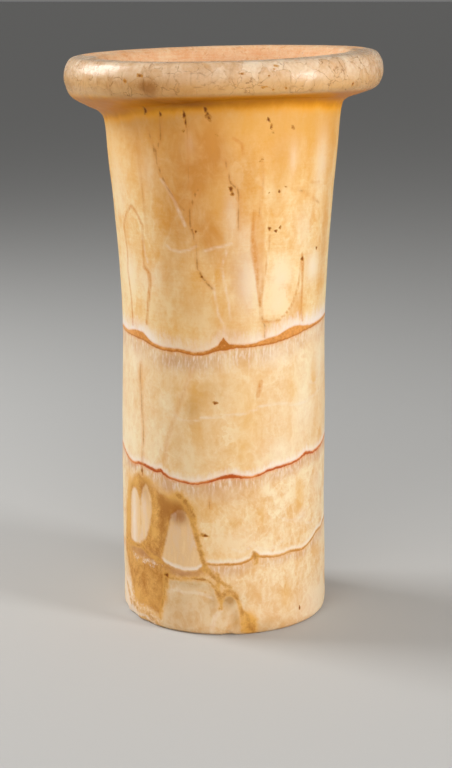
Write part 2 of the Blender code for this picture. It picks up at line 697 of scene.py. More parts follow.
@dataclass(frozen=True)
class Wear:
    """What use, burial and the drill did to the surface.

    Attributes:
        pits: The small holes in the wall and the rim.
        chips: Breaks in the lip or the foot's edge: middle, reach and depth of each.
        hand: How far the hand-smoothed surface wanders.
        drill_pitch: The height of a ring left by the drill.
        drill_depth: How deep the rings are.
        open_share: How much of a pit's depth the dirt in it leaves open.
        roughness: How uneven the chips' edges and floors and the bore are.
    """

    pits: tuple[Pit, ...]
    chips: tuple[tuple[tuple[float, float, float], float, float], ...]
    hand: float = 0.10
    drill_pitch: float = 4.6
    drill_depth: float = 0.22
    open_share: float = 0.45
    roughness: tuple[float, float, float] = (0.22, 0.25, 0.16)

    def spots(self, form: JarForm) -> list[tuple[Vector, float]]:
        """Finds where the mesh has to be fine.

        Args:
            form: The jar's form.

        Returns:
            The middle and the reach of each spot on the turned form.
        """
        found = []
        # The wall from the foot up, without the foot's rounded edge
        outline = np.array(form.wall_outline()[::-1][2:])
        for pit in self.pits:
            turn = math.radians(pit.around)
            radius = float(np.interp(pit.height, outline[:, 1], outline[:, 0]))
            if pit.height > form.neck_at:
                radius = form.rim_radius
            middle = Vector((radius * math.sin(turn), -radius * math.cos(turn), pit.height))
            found.append((middle, 1.4 * max(pit.half_width, pit.half_height) + 0.8))
        return found + [(Vector(middle), reach * 1.1) for middle, reach, _ in self.chips]

    def depth(self, places: Places, points: np.ndarray) -> np.ndarray:
        """Adds up how deep the wear is at each point.

        Args:
            places: Where the points are.
            points: Their coordinates.

        Returns:
            Millimetres that the surface sinks, below 0 where it stands proud.
        """
        sunk = np.zeros(len(points))
        for pit in self.pits:
            sunk = np.maximum(sunk, self.open_share * pit.depth * pit.shares(places))
        # Noise in lumps 2.2, 17 and 6 mm wide
        rough = np.array([noise.fractal(Vector(point) / 2.2, 0.8, 2.1, 3) for point in points])
        broad = np.array([noise.noise(Vector(point) / 17.0) for point in points])
        small = np.array([noise.noise(Vector(point) / 6.0 + Vector((7.0, 3.0, 1.0))) for point in points])
        ragged, lumpy, grainy = self.roughness
        for middle, reach, depth in self.chips:
            away = np.linalg.norm(points - np.array(middle), axis=1) / reach + ragged * rough
            sunk += depth * (1.0 - smooth_step(0.55, 0.95, away)) * (1.0 + lumpy * rough)
        # The flat that the jar stands on stays flat
        resting = (places.height < 0.6) | ((places.section_radius < 5.0) & (places.height < 1.0))
        sunk += np.where(resting, 0.0, self.hand * (broad + 0.45 * small))
        # The drill's rings fade out near the floor and towards the mouth
        inner = (1.0 - places.outside) * smooth_step(16.0, 24.0, places.section_height)
        wandering = places.section_height / self.drill_pitch + 0.35 * broad
        rings = np.abs((wandering % 1.0) - 0.5) * 2.0
        upper = 1.0 - smooth_step(150.0, 200.0, places.section_height)
        sunk += inner * (self.drill_depth * rings * upper + grainy * rough)
        return sunk


class Layers:
    """The growth layers that run round the jar, from the upper one down."""

    UPPER = Course(
        "upper",
        heights=(
            (-180, 112.2), (-168, 110.6), (-155, 109.2), (-142, 111.0), (-132, 113.4), (-127, 112.8),
            (-115, 110.9), (-102, 110.4), (-90, 111.3), (-80, 112.0), (-70, 111.3), (-60, 110.9),
            (-52, 110.6), (-48, 110.2), (-44, 109.3), (-40, 108.6), (-35, 108.1), (-30, 107.9),
            (-25, 108.1), (-20, 107.5), (-16, 107.1), (-10, 107.6), (-5, 108.8), (-2, 109.3), (2, 109.5),
            (5, 110.0), (10, 110.2), (15, 110.3), (20, 110.5), (25, 110.9), (30, 111.2), (35, 111.9),
            (40, 112.6), (45, 113.1), (50, 114.0), (55, 114.5), (60, 114.8), (65, 115.2), (72, 115.9),
            (80, 116.3), (90, 116.2), (100, 115.3), (112, 116.2), (125, 118.2), (134, 119.4),
            (142, 117.6), (155, 115.3), (168, 113.3), (180, 112.2),
        ),
        depths=(
            (-180, 1.0), (-150, 0.8), (-134, 2.8), (-126, 2.2), (-115, 1.0), (-80, 0.9), (-67, 1.0),
            (-61, 2.2), (-56, 2.7), (-50, 2.6), (-46, 1.5), (-42, 1.0), (-25, 1.0), (-12, 0.9), (-6, 1.2),
            (-3, 1.9), (0, 4.4), (3, 1.7), (7, 1.1), (12, 0.8), (17, 1.1), (22, 1.8), (30, 2.2),
            (36, 3.2), (41, 3.5), (46, 3.0), (51, 1.6), (56, 0.9), (66, 0.8), (80, 0.7), (105, 0.9),
            (128, 2.0), (135, 3.2), (142, 1.8), (155, 0.9), (180, 1.0),
        ),
        strengths=(
            (-180, 0.7), (-140, 0.8), (-110, 0.5), (-80, 0.4), (-66, 0.55), (-52, 0.75), (-42, 0.7),
            (-30, 0.76), (-20, 0.84), (-10, 0.82), (0, 1.15), (8, 0.95), (14, 0.8), (22, 0.7), (32, 0.75),
            (42, 0.65), (52, 0.6), (60, 0.75), (70, 0.6), (82, 0.5), (110, 0.7), (134, 0.9), (160, 0.6),
            (180, 0.7),
        ),
        whites=(
            (-180, 0.6), (-120, 0.8), (-80, 0.95), (-62, 1.0), (-46, 0.9), (-38, 0.62), (-25, 0.42),
            (-15, 0.34), (-6, 0.42), (0, 0.34), (8, 0.45), (20, 0.62), (34, 0.8), (50, 0.95), (66, 1.0),
            (90, 0.9), (180, 0.6),
        ),
    )
    MIDDLE = Course(
        "middle",
        heights=(
            (-180, 64.2), (-165, 62.7), (-150, 62.2), (-138, 63.9), (-126, 62.1), (-110, 63.2),
            (-95, 65.3), (-86, 66.3), (-80, 65.9), (-75, 64.9), (-70, 63.4), (-65, 62.2), (-60, 61.8),
            (-55, 62.5), (-50, 62.4), (-45, 61.8), (-40, 61.2), (-37, 61.9), (-35, 60.8), (-30, 59.5),
            (-25, 59.1), (-20, 58.8), (-16, 58.5), (-10, 59.3), (-5, 60.3), (0, 61.4), (4, 61.7),
            (8, 61.5), (10, 61.3), (15, 61.2), (20, 61.9), (25, 63.2), (30, 63.7), (35, 64.1), (40, 64.4),
            (45, 65.1), (50, 66.4), (52, 66.7), (55, 66.4), (60, 66.1), (65, 66.5), (70, 67.0),
            (75, 68.1), (80, 69.0), (92, 70.1), (105, 69.2), (120, 67.4), (131, 68.8), (145, 66.5),
            (160, 65.0), (170, 64.5), (180, 64.2),
        ),
        depths=(
            (-180, 0.6), (-138, 1.1), (-100, 0.5), (-75, 0.5), (-60, 0.5), (-52, 0.8), (-40, 0.9),
            (-37, 1.1), (-32, 0.6), (-16, 0.6), (-5, 0.7), (1, 1.0), (4, 1.2), (9, 0.7), (16, 0.45),
            (25, 0.65), (40, 0.6), (48, 0.6), (52, 1.0), (57, 0.7), (70, 0.6), (95, 0.5), (131, 1.0),
            (160, 0.6), (180, 0.6),
        ),
        strengths=(
            (-180, 0.7), (-138, 1.0), (-110, 0.5), (-80, 0.35), (-70, 0.5), (-64, 0.3), (-58, 0.5),
            (-50, 0.95), (-42, 1.1), (-36, 0.95), (-30, 0.55), (-22, 0.7), (-12, 0.5), (-6, 0.8),
            (0, 1.05), (6, 1.2), (11, 0.6), (17, 0.4), (22, 0.8), (30, 1.0), (38, 0.8), (45, 0.65),
            (52, 0.95), (56, 0.85), (62, 0.65), (70, 0.55), (80, 0.4), (110, 0.6), (131, 1.0), (155, 0.6),
            (180, 0.7),
        ),
        whites=(
            (-180, 0.7), (-120, 0.7), (-75, 0.35), (-64, 0.75), (-45, 0.8), (-30, 0.7), (-18, 0.7),
            (0, 0.75), (10, 0.85), (25, 0.95), (45, 0.95), (62, 0.9), (75, 0.7), (120, 0.7), (180, 0.7),
        ),
    )
    LOWER = Course(
        "lower",
        heights=(
            (-180, 30.8), (-165, 29.4), (-150, 28.6), (-136, 29.9), (-125, 28.7), (-105, 28.2),
            (-90, 28.6), (-75, 28.0), (-60, 27.8), (-37, 27.3), (-34, 26.3), (-30, 25.5), (-22, 24.5),
            (-15, 25.1), (-11, 27.0), (-9, 27.9), (-5, 27.7), (0, 27.8), (5, 27.9), (10, 28.2),
            (14, 29.1), (16, 30.0), (17.5, 31.2), (19, 30.6), (21, 30.0), (25, 29.8), (30, 29.5),
            (35, 29.7), (40, 30.3), (45, 29.8), (50, 29.7), (55, 31.0), (60, 32.6), (63, 34.0),
            (67, 34.3), (71, 34.3), (76, 35.8), (90, 36.9), (108, 35.0), (124, 33.4), (133, 34.8),
            (150, 33.6), (165, 31.7), (180, 30.8),
        ),
        depths=(
            (-180, 0.7), (-40, 0.6), (0, 0.6), (15, 0.7), (17.5, 1.4), (20, 0.7), (60, 0.6), (180, 0.7),
        ),
        strengths=(
            (-180, 0.5), (-110, 0.6), (-80, 0.3), (-70, 0.0), (-38, 0.0), (-34, 0.9), (-22, 1.0),
            (-12, 0.9), (-6, 0.7), (2, 0.85), (12, 0.9), (17, 1.0), (25, 0.7), (35, 0.65), (45, 0.8),
            (60, 0.8), (70, 0.7), (90, 0.6), (130, 0.8), (180, 0.5),
        ),
        whites=(
            (-180, 0.7), (-75, 0.2), (-40, 0.0), (-14, 0.0), (-10, 0.7), (5, 0.8), (25, 0.9), (70, 0.9),
            (180, 0.7),
        ),
    )
    ALL = (UPPER, MIDDLE, LOWER)


class Markings:
    """The inclusion, veins, cracks, stains, pits and chips of the stone.

    Angles are in degrees, and heights and sizes in millimetres.

    Attributes:
        PATCHES: The outlines of each mark's patches, as angles and heights.
        CRACKS: The corners and the widths of each mark's lines, and the strength of some.
        STAINS: Each mark's stains: angle, height, reach to the sides and up, and strength. The
            last ones are at the sides and the back, and are quieter.
        PITS: Angle, height, half width, half height and depth, and the lean of some.
        CHIPS: The middle, the reach and the depth of each break in the lip or the foot's edge.
    """

    PATCHES = {
        Mark.OCHRE: (
            (
                (-74, 27), (-72, 33), (-71, 41), (-69, 48), (-65, 53.5), (-60, 57), (-55, 58.8),
                (-50, 58.4), (-45, 57.0), (-40, 55.0), (-35, 53.0), (-30, 52.2), (-26, 54.8),
                (-22.5, 54.0), (-19.6, 50.5), (-17, 46), (-15, 40), (-14, 35), (-12, 31), (-10.3, 28),
                (-11, 24.5), (-15, 23.0), (-22, 22.2), (-28, 22.8), (-33, 21.0), (-34, 15), (-36, 9),
                (-37.5, 5), (-43, 6.5), (-50, 7.2), (-56, 6.6), (-62, 7.5), (-63, 12), (-66, 17),
                (-71, 22),
            ),
        ),
        Mark.FAN: (
            (
                (-30, 46), (-31.5, 42), (-33, 37.5), (-35, 32), (-36.4, 28.2), (-35.5, 26.8), (-30, 25.4),
                (-22, 24.4), (-15, 25.0), (-11.4, 27.0), (-11.2, 28.4), (-13.2, 33), (-15.6, 38),
                (-17, 42), (-19, 46), (-22, 48.2), (-26, 48.0),
            ),
            (
                (-64.6, 31), (-65, 38), (-64.4, 46), (-63.4, 50.5), (-60.5, 52.6), (-56.8, 52.2),
                (-54.2, 48), (-53.2, 40), (-52.2, 33), (-54, 30.2),
            ),
            (
                (-52.6, 32), (-53.5, 38), (-53.9, 46), (-52, 53), (-48, 56), (-44.4, 51.5), (-43.4, 46.5),
                (-45, 40), (-48.4, 34),
            ),
        ),
        Mark.CHALK: (
            (
                (-61, 25.2), (-54, 24.7), (-48, 25.1), (-42, 24.6), (-37.6, 24.4), (-42, 25.5),
                (-49, 26.1), (-55, 25.6),
            ),
            (
                (-82, -2), (-80, 10), (-76, 16), (-69, 15), (-64, 11.5), (-62, 7.5), (-56, 6.2),
                (-50, 6.4), (-43, 5.4), (-38, 3.2), (-37.5, -2),
            ),
        ),
        Mark.CORE: (
            (
                (-40, 28), (-39, 36), (-38, 43), (-39.5, 50), (-40, 55), (-37, 54.6), (-32, 52.6),
                (-27, 53), (-24, 50.5), (-29, 47), (-31.5, 43), (-33.5, 38), (-35.5, 32), (-37, 28.5),
            ),
        ),
        Mark.WEDGE: (
            (
                (16.8, 159), (15.4, 154), (15.8, 147), (18.2, 140), (20, 134), (20.6, 126), (21.2, 131),
                (21.6, 139), (22, 147), (21.6, 154), (19.6, 158.4),
            ),
            (
                (41.5, 126.2), (46.6, 131), (47.6, 127), (49, 119.6), (40, 118.4), (32, 118.4),
                (36.6, 121.6),
            ),
        ),
    }
    CRACKS = {
        Mark.VEIN: (
            (((-26, 54), (-21, 51), (-18.5, 48.5), (-17, 44.5), (-15.6, 40), (-14.2, 37), (-13, 33.5),
              (-11.6, 30.5), (-10.4, 28.2), (-10, 26.2), (-7.5, 24.6), (-5, 23), (-2, 21), (0.5, 20.2),
              (3, 20.2)), (1.2, 1.6, 1.9, 1.5, 1.3, 1.2, 1.1, 1.0, 1.1, 1.3, 1.3, 1.2, 0.9, 0.6, 0.3)),
            (((-34, 21), (-28, 21.2), (-21, 21.6), (-15, 22), (-9, 21.8), (-6, 20.2), (-4, 18),
              (-3, 15.5)), (0.9, 0.6, 0.6, 0.7, 0.8, 0.8, 0.6, 0.3)),
            (((-3.4, 24.4), (-2.4, 22), (-3.2, 19.4), (-2.6, 16.4), (-1.8, 13)),
             (0.8, 1.1, 0.8, 0.6, 0.4)),
            (((-65, 6.2), (-58, 4.4), (-50, 4.6), (-44, 3.2), (-38, 0.6)),
             (2.2, 3.0, 2.4, 3.2, 2.0), 0.2),
            (((-74, 12), (-69, 9), (-66, 5)), (1.4, 2.2, 1.6), 0.1),
            (((-58, 0.6), (-52, 1.6), (-46, 0.4)), (1.4, 2.0, 1.4), 0.1),
            (((10.4, 10), (12.6, 7.6), (14.6, 5.0), (16, 2)), (0.6, 1.2, 2.4, 1.8)),
            (((-1.6, 11), (-1, 14), (0.6, 16.8), (3.4, 17.9), (6, 16.8), (8, 14), (9.6, 10.5), (10.6, 7),
              (10.8, 2)), (0.5, 0.9, 1.3, 1.5, 1.2, 0.9, 0.9, 1.0, 1.0)),
            (((-37.6, 4), (-36.6, 9), (-35, 14), (-33.6, 19), (-33, 22.2)), (0.5, 0.6, 0.7, 1.2, 1.8)),
            (((-72, 30), (-66, 29.4), (-59, 29.8), (-53, 30.6), (-47, 28.6), (-41, 27.4), (-36.6, 26.6)),
             (0.5, 0.9, 0.9, 0.7, 0.9, 1.2, 0.8)),
            (((-12.4, 39.6), (-10.6, 39.2), (-8.4, 38.8)), (0.5, 0.9, 0.4)),
            (((16.6, 32.4), (17.4, 31), (18, 29.6), (17.6, 28)), (0.6, 1.5, 1.4, 0.4)),
        ),
        Mark.LENS: (
            (((-1.6, 11), (-4.4, 7.8), (-6, 3.6), (-6.4, -1)), (1.0,), -0.6),
            (((20.8, 97.4), (19.8, 94.6), (18.8, 91.6)), (0.5, 1.2, 0.5)),
            (((-47.6, 138), (-45, 137.4), (-43.4, 135.6), (-43.2, 132), (-44.6, 127), (-46, 122),
              (-47, 117)), (0.6, 0.9, 1.1, 1.0, 0.9, 0.8, 0.6)),
            (((-64.3, 152.5), (-60, 157), (-54.3, 160.3), (-50, 157.5), (-46.5, 153.5), (-47, 145),
              (-47, 138.5)), (0.4, 0.6, 0.5, 0.6, 0.6, 0.4, 0.7)),
            (((-64.3, 152.5), (-62.7, 142.5), (-63.7, 135), (-61.5, 125), (-60.7, 115)),
             (0.5, 0.6, 0.6, 0.6, 0.5)),
            (((15.6, 160), (15, 152), (15.8, 146), (17.6, 139), (18.8, 132), (20, 126)),
             (0.3, 0.8, 1.4, 1.1, 0.8, 0.4)),
            (((24.4, 151), (23.8, 146), (22.8, 139), (21.4, 133), (20.6, 128), (20.4, 122)), (0.8,), 0.2),
            (((46, 143), (45.2, 138), (44.6, 133), (42.6, 128.4), (40, 124.6), (36, 121.6), (32, 119.6),
              (28, 118.8), (22, 119.6)), (0.4, 0.5, 0.6, 0.7, 0.7, 0.7, 0.6, 0.4, 0.2)),
            (((47, 141), (47.4, 134), (47.4, 127), (47.6, 121), (48.6, 118)), (0.3, 0.5, 0.6, 0.7, 0.4)),
            (((4.6, 186), (8.6, 184), (9.6, 180)), (0.3, 0.6, 0.2)),
        ),
        Mark.HAIRLINE: (
            (((-30, 193.5), (-30.4, 189), (-31, 185), (-33.6, 181), (-33.4, 176), (-31, 171.5),
              (-28, 167.4), (-24, 163), (-19.6, 160)), (0.5, 0.45, 0.35, 0.5, 0.5, 0.4, 0.35, 0.35, 0.2)),
            (((-17, 190), (-16.6, 181), (-17, 174), (-16.6, 168)), (0.8,), 0.1),
            (((-11.8, 168.4), (-14, 166), (-15.6, 163), (-17.2, 159), (-17, 155), (-15.4, 151.8),
              (-14.4, 148), (-14.2, 143), (-13.4, 139), (-11.2, 136), (-8, 133.4), (-5.6, 131.8)),
             (0.3, 0.6, 0.7, 0.5, 0.45, 0.6, 0.55, 0.45, 0.45, 0.6, 0.3, 0.15)),
            (((-52.8, 101), (-53.4, 96), (-52.4, 91), (-51.8, 85), (-50.6, 79), (-50.4, 73), (-51.2, 67),
              (-51.6, 58.5)), (1.1, 1.3, 1.3, 1.2, 1.1, 1.1, 1.2, 1.1), 0.4),
            (((-17.3, 101.3), (-27.3, 83.8), (-32.3, 75), (-34.8, 65)), (1.2,), -0.2),
            (((-44.6, 189), (-45.4, 183), (-45, 172), (-44, 160), (-43.6, 150)), (0.8,), 0.0),
            (((-38, 189), (-35.6, 183), (-34, 176)), (0.15, 0.3, 0.2)),
            (((8, 153), (7.4, 158), (8, 163), (7, 168), (3.6, 170), (2, 175), (0.8, 178)),
             (0.2, 0.35, 0.25, 0.25, 0.6, 0.6, 0.3)),
            (((18.6, 178.6), (19.4, 172), (19.2, 165), (17.8, 158)), (0.8,), 0.1),
            (((20.4, 130), (20, 126), (21, 121), (23.4, 117), (23, 113.6)), (0.3, 0.4, 0.35, 0.3, 0.2)),
            (((40, 167), (43, 166), (47.6, 165)), (0.2, 0.35, 0.15)),
            (((50, 168.6), (56.4, 168.4)), (0.3, 0.15)),
            (((52, 163), (57.6, 161)), (0.25, 0.15)),
            (((-7.6, 52.2), (-7.4, 49.8)), (0.35, 0.1)),
            (((-25.8, 211.8), (-26.8, 208.1), (-27.6, 205.4), (-27.4, 203), (-26.8, 201.4), (-24, 199.6),
              (-19, 199.0)), (0.2, 0.3, 0.35, 0.4, 0.4, 0.5, 0.2)),
            (((-11, 208.8), (-8.4, 209.2), (-5.8, 208.2), (-5.2, 206.2), (-6.6, 204.4), (-9.4, 204.2),
              (-11, 205.6), (-11, 208.8)), (0.22,)),
            (((-5.2, 206.4), (-3, 205.8), (-1.6, 203.8), (1, 203.2)), (0.25,)),
            (((22, 209.6), (23, 207.4), (22.4, 205), (23, 202.6)), (0.2,)),
            (((24, 204.6), (26, 203.8), (28, 204.6)), (0.3,)),
        ),
        Mark.HEALED: (
            (((-32, 171), (-28, 167), (-25, 163.4), (-22.4, 159), (-19.6, 154.6)),
             (0.4, 0.8, 0.8, 0.7, 0.4)),
            (((-31, 147), (-28, 145.5), (-23, 145), (-18, 145.8), (-14, 147.3)),
             (0.3, 0.7, 0.7, 0.7, 0.3)),
            (((-10, 145.5), (-5, 146.8), (0, 147.4), (4, 148.5)), (0.3, 0.7, 0.7, 0.3)),
            (((-5.2, 133), (-4, 127.6), (-2.8, 122.6), (-0.6, 119.4)), (0.3, 0.5, 0.5, 0.3)),
            (((4, 120), (3, 126), (1, 133), (-1, 140), (2, 146)), (0.2, 0.4, 0.4, 0.4, 0.2)),
            (((-1, 10.4), (-4.6, 7.6), (-6.2, 3.4), (-6.4, -1)), (0.7, 1.1, 1.1, 0.9)),
            (((-12, 84), (-5, 84.6), (4, 85.2), (10, 85.6), (17, 86.6), (20, 88), (24, 88.3), (32, 88.4),
              (40, 87.2), (48, 86.8), (56, 87.6), (64, 88.8), (70, 90)),
             (0.5, 0.7, 0.8, 0.8, 0.8, 0.8, 0.6, 0.7, 0.7, 0.7, 0.8, 0.8, 0.4)),
            (((-28, 84), (-22, 82.4), (-17, 82.2), (-12, 83.6)), (0.3, 0.7, 0.7, 0.3)),
            (((56, 94), (62, 92.6), (67, 95), (69, 99)), (0.3, 0.6, 0.7, 0.3)),
            (((33, 44.5), (38, 42.6), (44, 42.2), (50, 43.5), (55, 46.5)), (0.3, 0.8, 0.9, 0.8, 0.3)),
            (((52, 40), (57, 38.8), (62, 39.8), (66, 42.5)), (0.3, 0.8, 0.8, 0.3)),
            (((5, 34), (10, 33), (14, 34), (17, 36.4)), (0.3, 0.6, 0.6, 0.3)),
            (((18, 34.5), (24, 33), (30, 33.5), (35, 35.5)), (0.3, 0.6, 0.6, 0.3)),
            (((-32, 15.5), (-27, 17), (-22, 16), (-16, 16.8), (-10, 16), (-5, 14.5)),
             (0.4, 0.9, 0.7, 0.9, 0.8, 0.4)),
            (((-47, 149), (-45.6, 143), (-44, 140)), (0.4, 0.7, 0.4)),
        ),
    }
    STAINS = {
        # Pale calcite; on the flanks these are partly painted sheen, and the upright streak at 57 degrees
        # and 176 mm is a painted highlight
        Mark.PALE: (
            (-60, 41, 3.6, 14, 0.7), (-50, 42, 3.0, 9, 0.35), (-60, 135, 8, 8, 0.75),
            (-46, 113, 4, 3.5, 0.6), (32, 136, 7, 7, 0.75), (14, 136, 6, 10, 0.75), (-39, 135, 5, 5, 0.5),
            (56, 137, 6, 5, 0.6), (4, 160, 3, 7, 0.45), (57, 176, 5.5, 12, 0.8), (-40, 173, 6, 7, 0.35),
            (11, 152, 6, 6, 0.4), (60, 116, 16, 3, 0.5), (62, 6, 18, 8, 0.5), (64, 54, 8, 6, 0.5),
            (66, 98, 10, 12, 0.3), (46, 153, 7, 8, 0.5), (30, 125, 7, 4, 0.5), (-66, 165, 9, 12, 0.4),
            (14, 128, 8, 10, 0.4), (48, 43, 4, 3, 0.6), (32, 70, 14, 5, 0.4), (50, 82, 14, 7, 0.4),
            (10, 37, 14, 5, 0.35), (36, 178, 2.2, 6, 0.6), (-16, 184, 2.0, 3.5, 0.4),
            (-47, 133, 4, 6, 0.5), (56, 138, 5, 5, 0.7), (-56, 103, 7, 4, 0.45), (29, 107, 9, 4, 0.55),
            (130, 134, 9, 8, 0.6), (-100, 134, 9, 9, 0.6), (-125, 52, 14, 8, 0.5),
        ),
        # Umber stains; those at 197 to 199 mm, along the crease under the rim, are partly brown stain and
        # partly painted shade
        Mark.UMBER: (
            (-46.5, 51, 3, 6, 0.3), (-25, 46, 6.5, 4, 1.2), (-50.5, 53, 4, 4, 0.5),
            (-50, 28, 11, 1.6, 0.45), (-17, 87, 5, 5, 0.3), (-20, 75, 14, 14, 0.12), (-6, 94, 9, 6, 0.22),
            (-21, 104, 12, 2.6, 0.3), (-26, 10, 22, 14, 0.35), (-26.5, 203.6, 3.2, 1.8, 0.8),
            (-27, 204.4, 8, 3.4, 0.5), (-37, 205, 7, 3.2, 0.4), (-20, 198.6, 12, 1.6, 0.7),
            (-6, 197.6, 34, 2.4, 0.4), (14, 204, 8, 2.2, 0.25), (3, 14.2, 4, 2.2, 1.2),
            (7, 6, 2.4, 5, 0.4), (-19, 19.6, 14, 1.6, 0.4), (5, 12, 7, 6, 0.3), (-6, 14, 2, 5, 0.5),
            (22, 2.5, 14, 3, 0.45), (-95, 82, 8, 12, 0.3),
        ),
        Mark.CORE: (
            (-36, 20, 3.5, 4.0, 2.2), (-33, 22, 2.4, 2.0, 3.5), (-42, 14, 4.5, 5.0, 1.6),
        ),
        Mark.ROSE: (
            (-52, 27.8, 12, 2.0, 0.5), (-23, 23.8, 10, 1.6, 0.6), (9, 139, 8, 12, 0.5),
            (4, 160, 6, 8, 0.25), (-22, 104.6, 14, 3.2, 0.8), (0, 55, 18, 4, 0.45),
            (2, 25.4, 12, 2.6, 0.5), (-35, 56.5, 8, 2.4, 0.6), (2, 114.6, 12, 4, 0.4),
            (68, 32, 10, 3.0, 0.5), (170, 106, 16, 4, 0.5),
        ),
        Mark.GOLDEN: (
            (-67.5, 43, 2.6, 12, 1.3), (-47, 57, 6, 1.4, 0.9), (-62, 55, 5, 3, 0.7),
            (-29, 52.4, 5, 2, 0.6), (-60, 9, 9, 2.4, 0.8), (-42, 37.6, 1.6, 1.8, 1.5),
            (-54, 38, 0.9, 12, 1.1), (13, 80, 8, 22, 0.55), (41, 93, 4, 7, 0.6), (60, 94, 4, 6, 0.9),
            (40, 78, 4, 9, 0.35), (47, 51, 5, 7, 0.7), (62, 50, 5, 5, 0.35), (21, 48, 2, 6, 0.5),
            (66, 80, 6, 12, 0.4), (37, 13, 4, 7, 0.5), (14.5, 4, 3.4, 4.6, 2.0), (48, 184, 9, 12, 0.2),
            (29, 174, 6, 9, 0.5), (-2, 164, 7, 9, 0.4), (28, 191, 40, 7, 0.75), (-12, 96, 25, 60, 0.3),
            (-12, 95, 14, 8, 0.25), (-18, 76, 8, 8, 0.3), (12, 34, 14, 6, 0.25), (-10, 40, 22, 26, 0.3),
            (120, 88, 9, 14, 0.5), (-140, 90, 12, 16, 0.45), (170, 48, 10, 8, 0.5),
        ),
        Mark.AMBER: (
            (-19, 174, 17, 27, 0.95), (-4, 178, 11, 22, 0.5), (-4, 146, 7, 8, 0.5),
            (-26, 150, 12, 12, 0.3), (-16, 126, 14, 9, 0.35), (-50, 192, 16, 5, 0.5),
            (-46, 184, 8, 8, 0.35), (12, 172, 7, 14, 0.4), (28, 176, 5, 14, 0.35), (9, 134, 4, 7, 0.35),
            (68, 165, 6, 40, 0.28), (-5, 185, 9, 9, 0.45), (35, 184, 14, 8, 0.25), (-8, 153, 7, 7, 0.4),
            (-38, 123, 7, 6, 0.3), (-30, 136, 7, 7, 0.35), (2, 122, 16, 5, 0.25), (-33, 47, 6, 8, 0.4),
            (66, 142, 7, 12, 0.3), (50, 137, 3.5, 10, 0.25), (25, 118, 6, 2.5, 0.35),
            (105, 168, 12, 26, 0.45), (150, 150, 16, 30, 0.5), (-118, 172, 14, 24, 0.5),
            (-160, 135, 14, 18, 0.4),
        ),
    }
    PITS = (
        (-38, 195.2, 1.4, 0.5, 0.5, -80.0), (-18.2, 194.0, 0.5, 1.3, 0.6), (-17.6, 191.4, 0.35, 1.0, 0.5),
        (-8.2, 196.0, 0.5, 1.0, 0.6, -15.0), (-7.0, 193.6, 0.6, 1.4, 0.7, -25.0),
        (-19, 188.2, 0.5, 0.45, 0.4), (-30, 194, 0.35, 0.8, 0.4), (21.4, 192.2, 0.45, 0.8, 0.6, -30.0),
        (22.8, 189.6, 0.3, 1.0, 0.4, 20.0), (23.4, 187.2, 0.45, 0.7, 0.5, 20.0),
        (35, 189.2, 0.5, 0.45, 0.4), (18.8, 177.6, 0.4, 0.8, 0.4), (3.6, 168.0, 0.6, 1.0, 0.5, -20.0),
        (4.4, 166.2, 0.6, 0.5, 0.5), (24, 153.4, 0.5, 0.6, 0.4, -20.0), (27.6, 152.4, 0.6, 0.45, 0.5),
        (30, 153.6, 0.3, 0.6, 0.35, 20.0), (46.2, 141.2, 0.7, 0.7, 0.6), (58.6, 144.2, 0.5, 0.5, 0.3),
        (-11.4, 136.2, 0.45, 0.45, 0.4), (-14.2, 152.6, 0.4, 0.5, 0.35), (-4.4, 89.8, 0.9, 0.45, 0.5),
        (-10, 39.1, 1.0, 0.4, 0.4), (-33, 21.8, 0.9, 0.7, 0.5), (-51.8, 60.2, 0.5, 0.9, 0.4),
        (46.4, 7.0, 0.35, 0.8, 0.3), (-4, 188.6, 0.3, 0.35, 0.3), (-3.8, 186.8, 0.3, 0.3, 0.3),
        (28.6, 166.6, 0.4, 0.5, 0.3, 30.0), (32.2, 168.2, 0.4, 0.25, 0.3), (23.0, 166.2, 0.3, 0.25, 0.25),
        (-48, 208.2, 0.4, 0.3, 0.3), (-34.8, 206.0, 0.22, 0.8, 0.4), (-29, 207.8, 0.5, 0.25, 0.3, 40.0),
        (-22.5, 209.0, 0.25, 0.5, 0.3), (-9.8, 205.0, 0.25, 0.5, 0.4), (6.4, 208.8, 0.4, 0.35, 0.5),
        (17.8, 211.0, 0.7, 0.3, 0.5, -65.0), (15.2, 208.0, 0.3, 0.25, 0.3), (13.2, 204.2, 0.4, 0.35, 0.4),
        (16.8, 203.4, 0.35, 0.3, 0.4, 30.0), (21.2, 203.8, 0.4, 0.3, 0.4), (31.2, 202.6, 0.35, 0.3, 0.4),
        (50.6, 204.2, 0.25, 0.8, 0.5, 10.0), (112, 160, 0.6, 0.8, 0.5), (146, 96, 0.7, 0.5, 0.4),
        (-122, 150, 0.5, 0.9, 0.5), (-165, 70, 0.8, 0.5, 0.4),
    )
    CHIPS = (
        ((-43.6, -19.0, 213.0), 3.2, 0.9),
        ((-45.4, -12.0, 213.4), 2.0, 0.6),
        ((46.2, -10.0, 214.6), 2.6, 0.8),
        ((43.0, -20.0, 214.4), 1.8, 0.5),
        ((-36.0, -18.5, 0.5), 5.5, 0.35),
        ((-30.5, -26.5, 0.2), 4.5, 0.3),
        ((-38.5, -9.0, 3.0), 5.0, 0.3),
        ((2.0, -39.2, 0.0), 2.6, 0.35),
    )


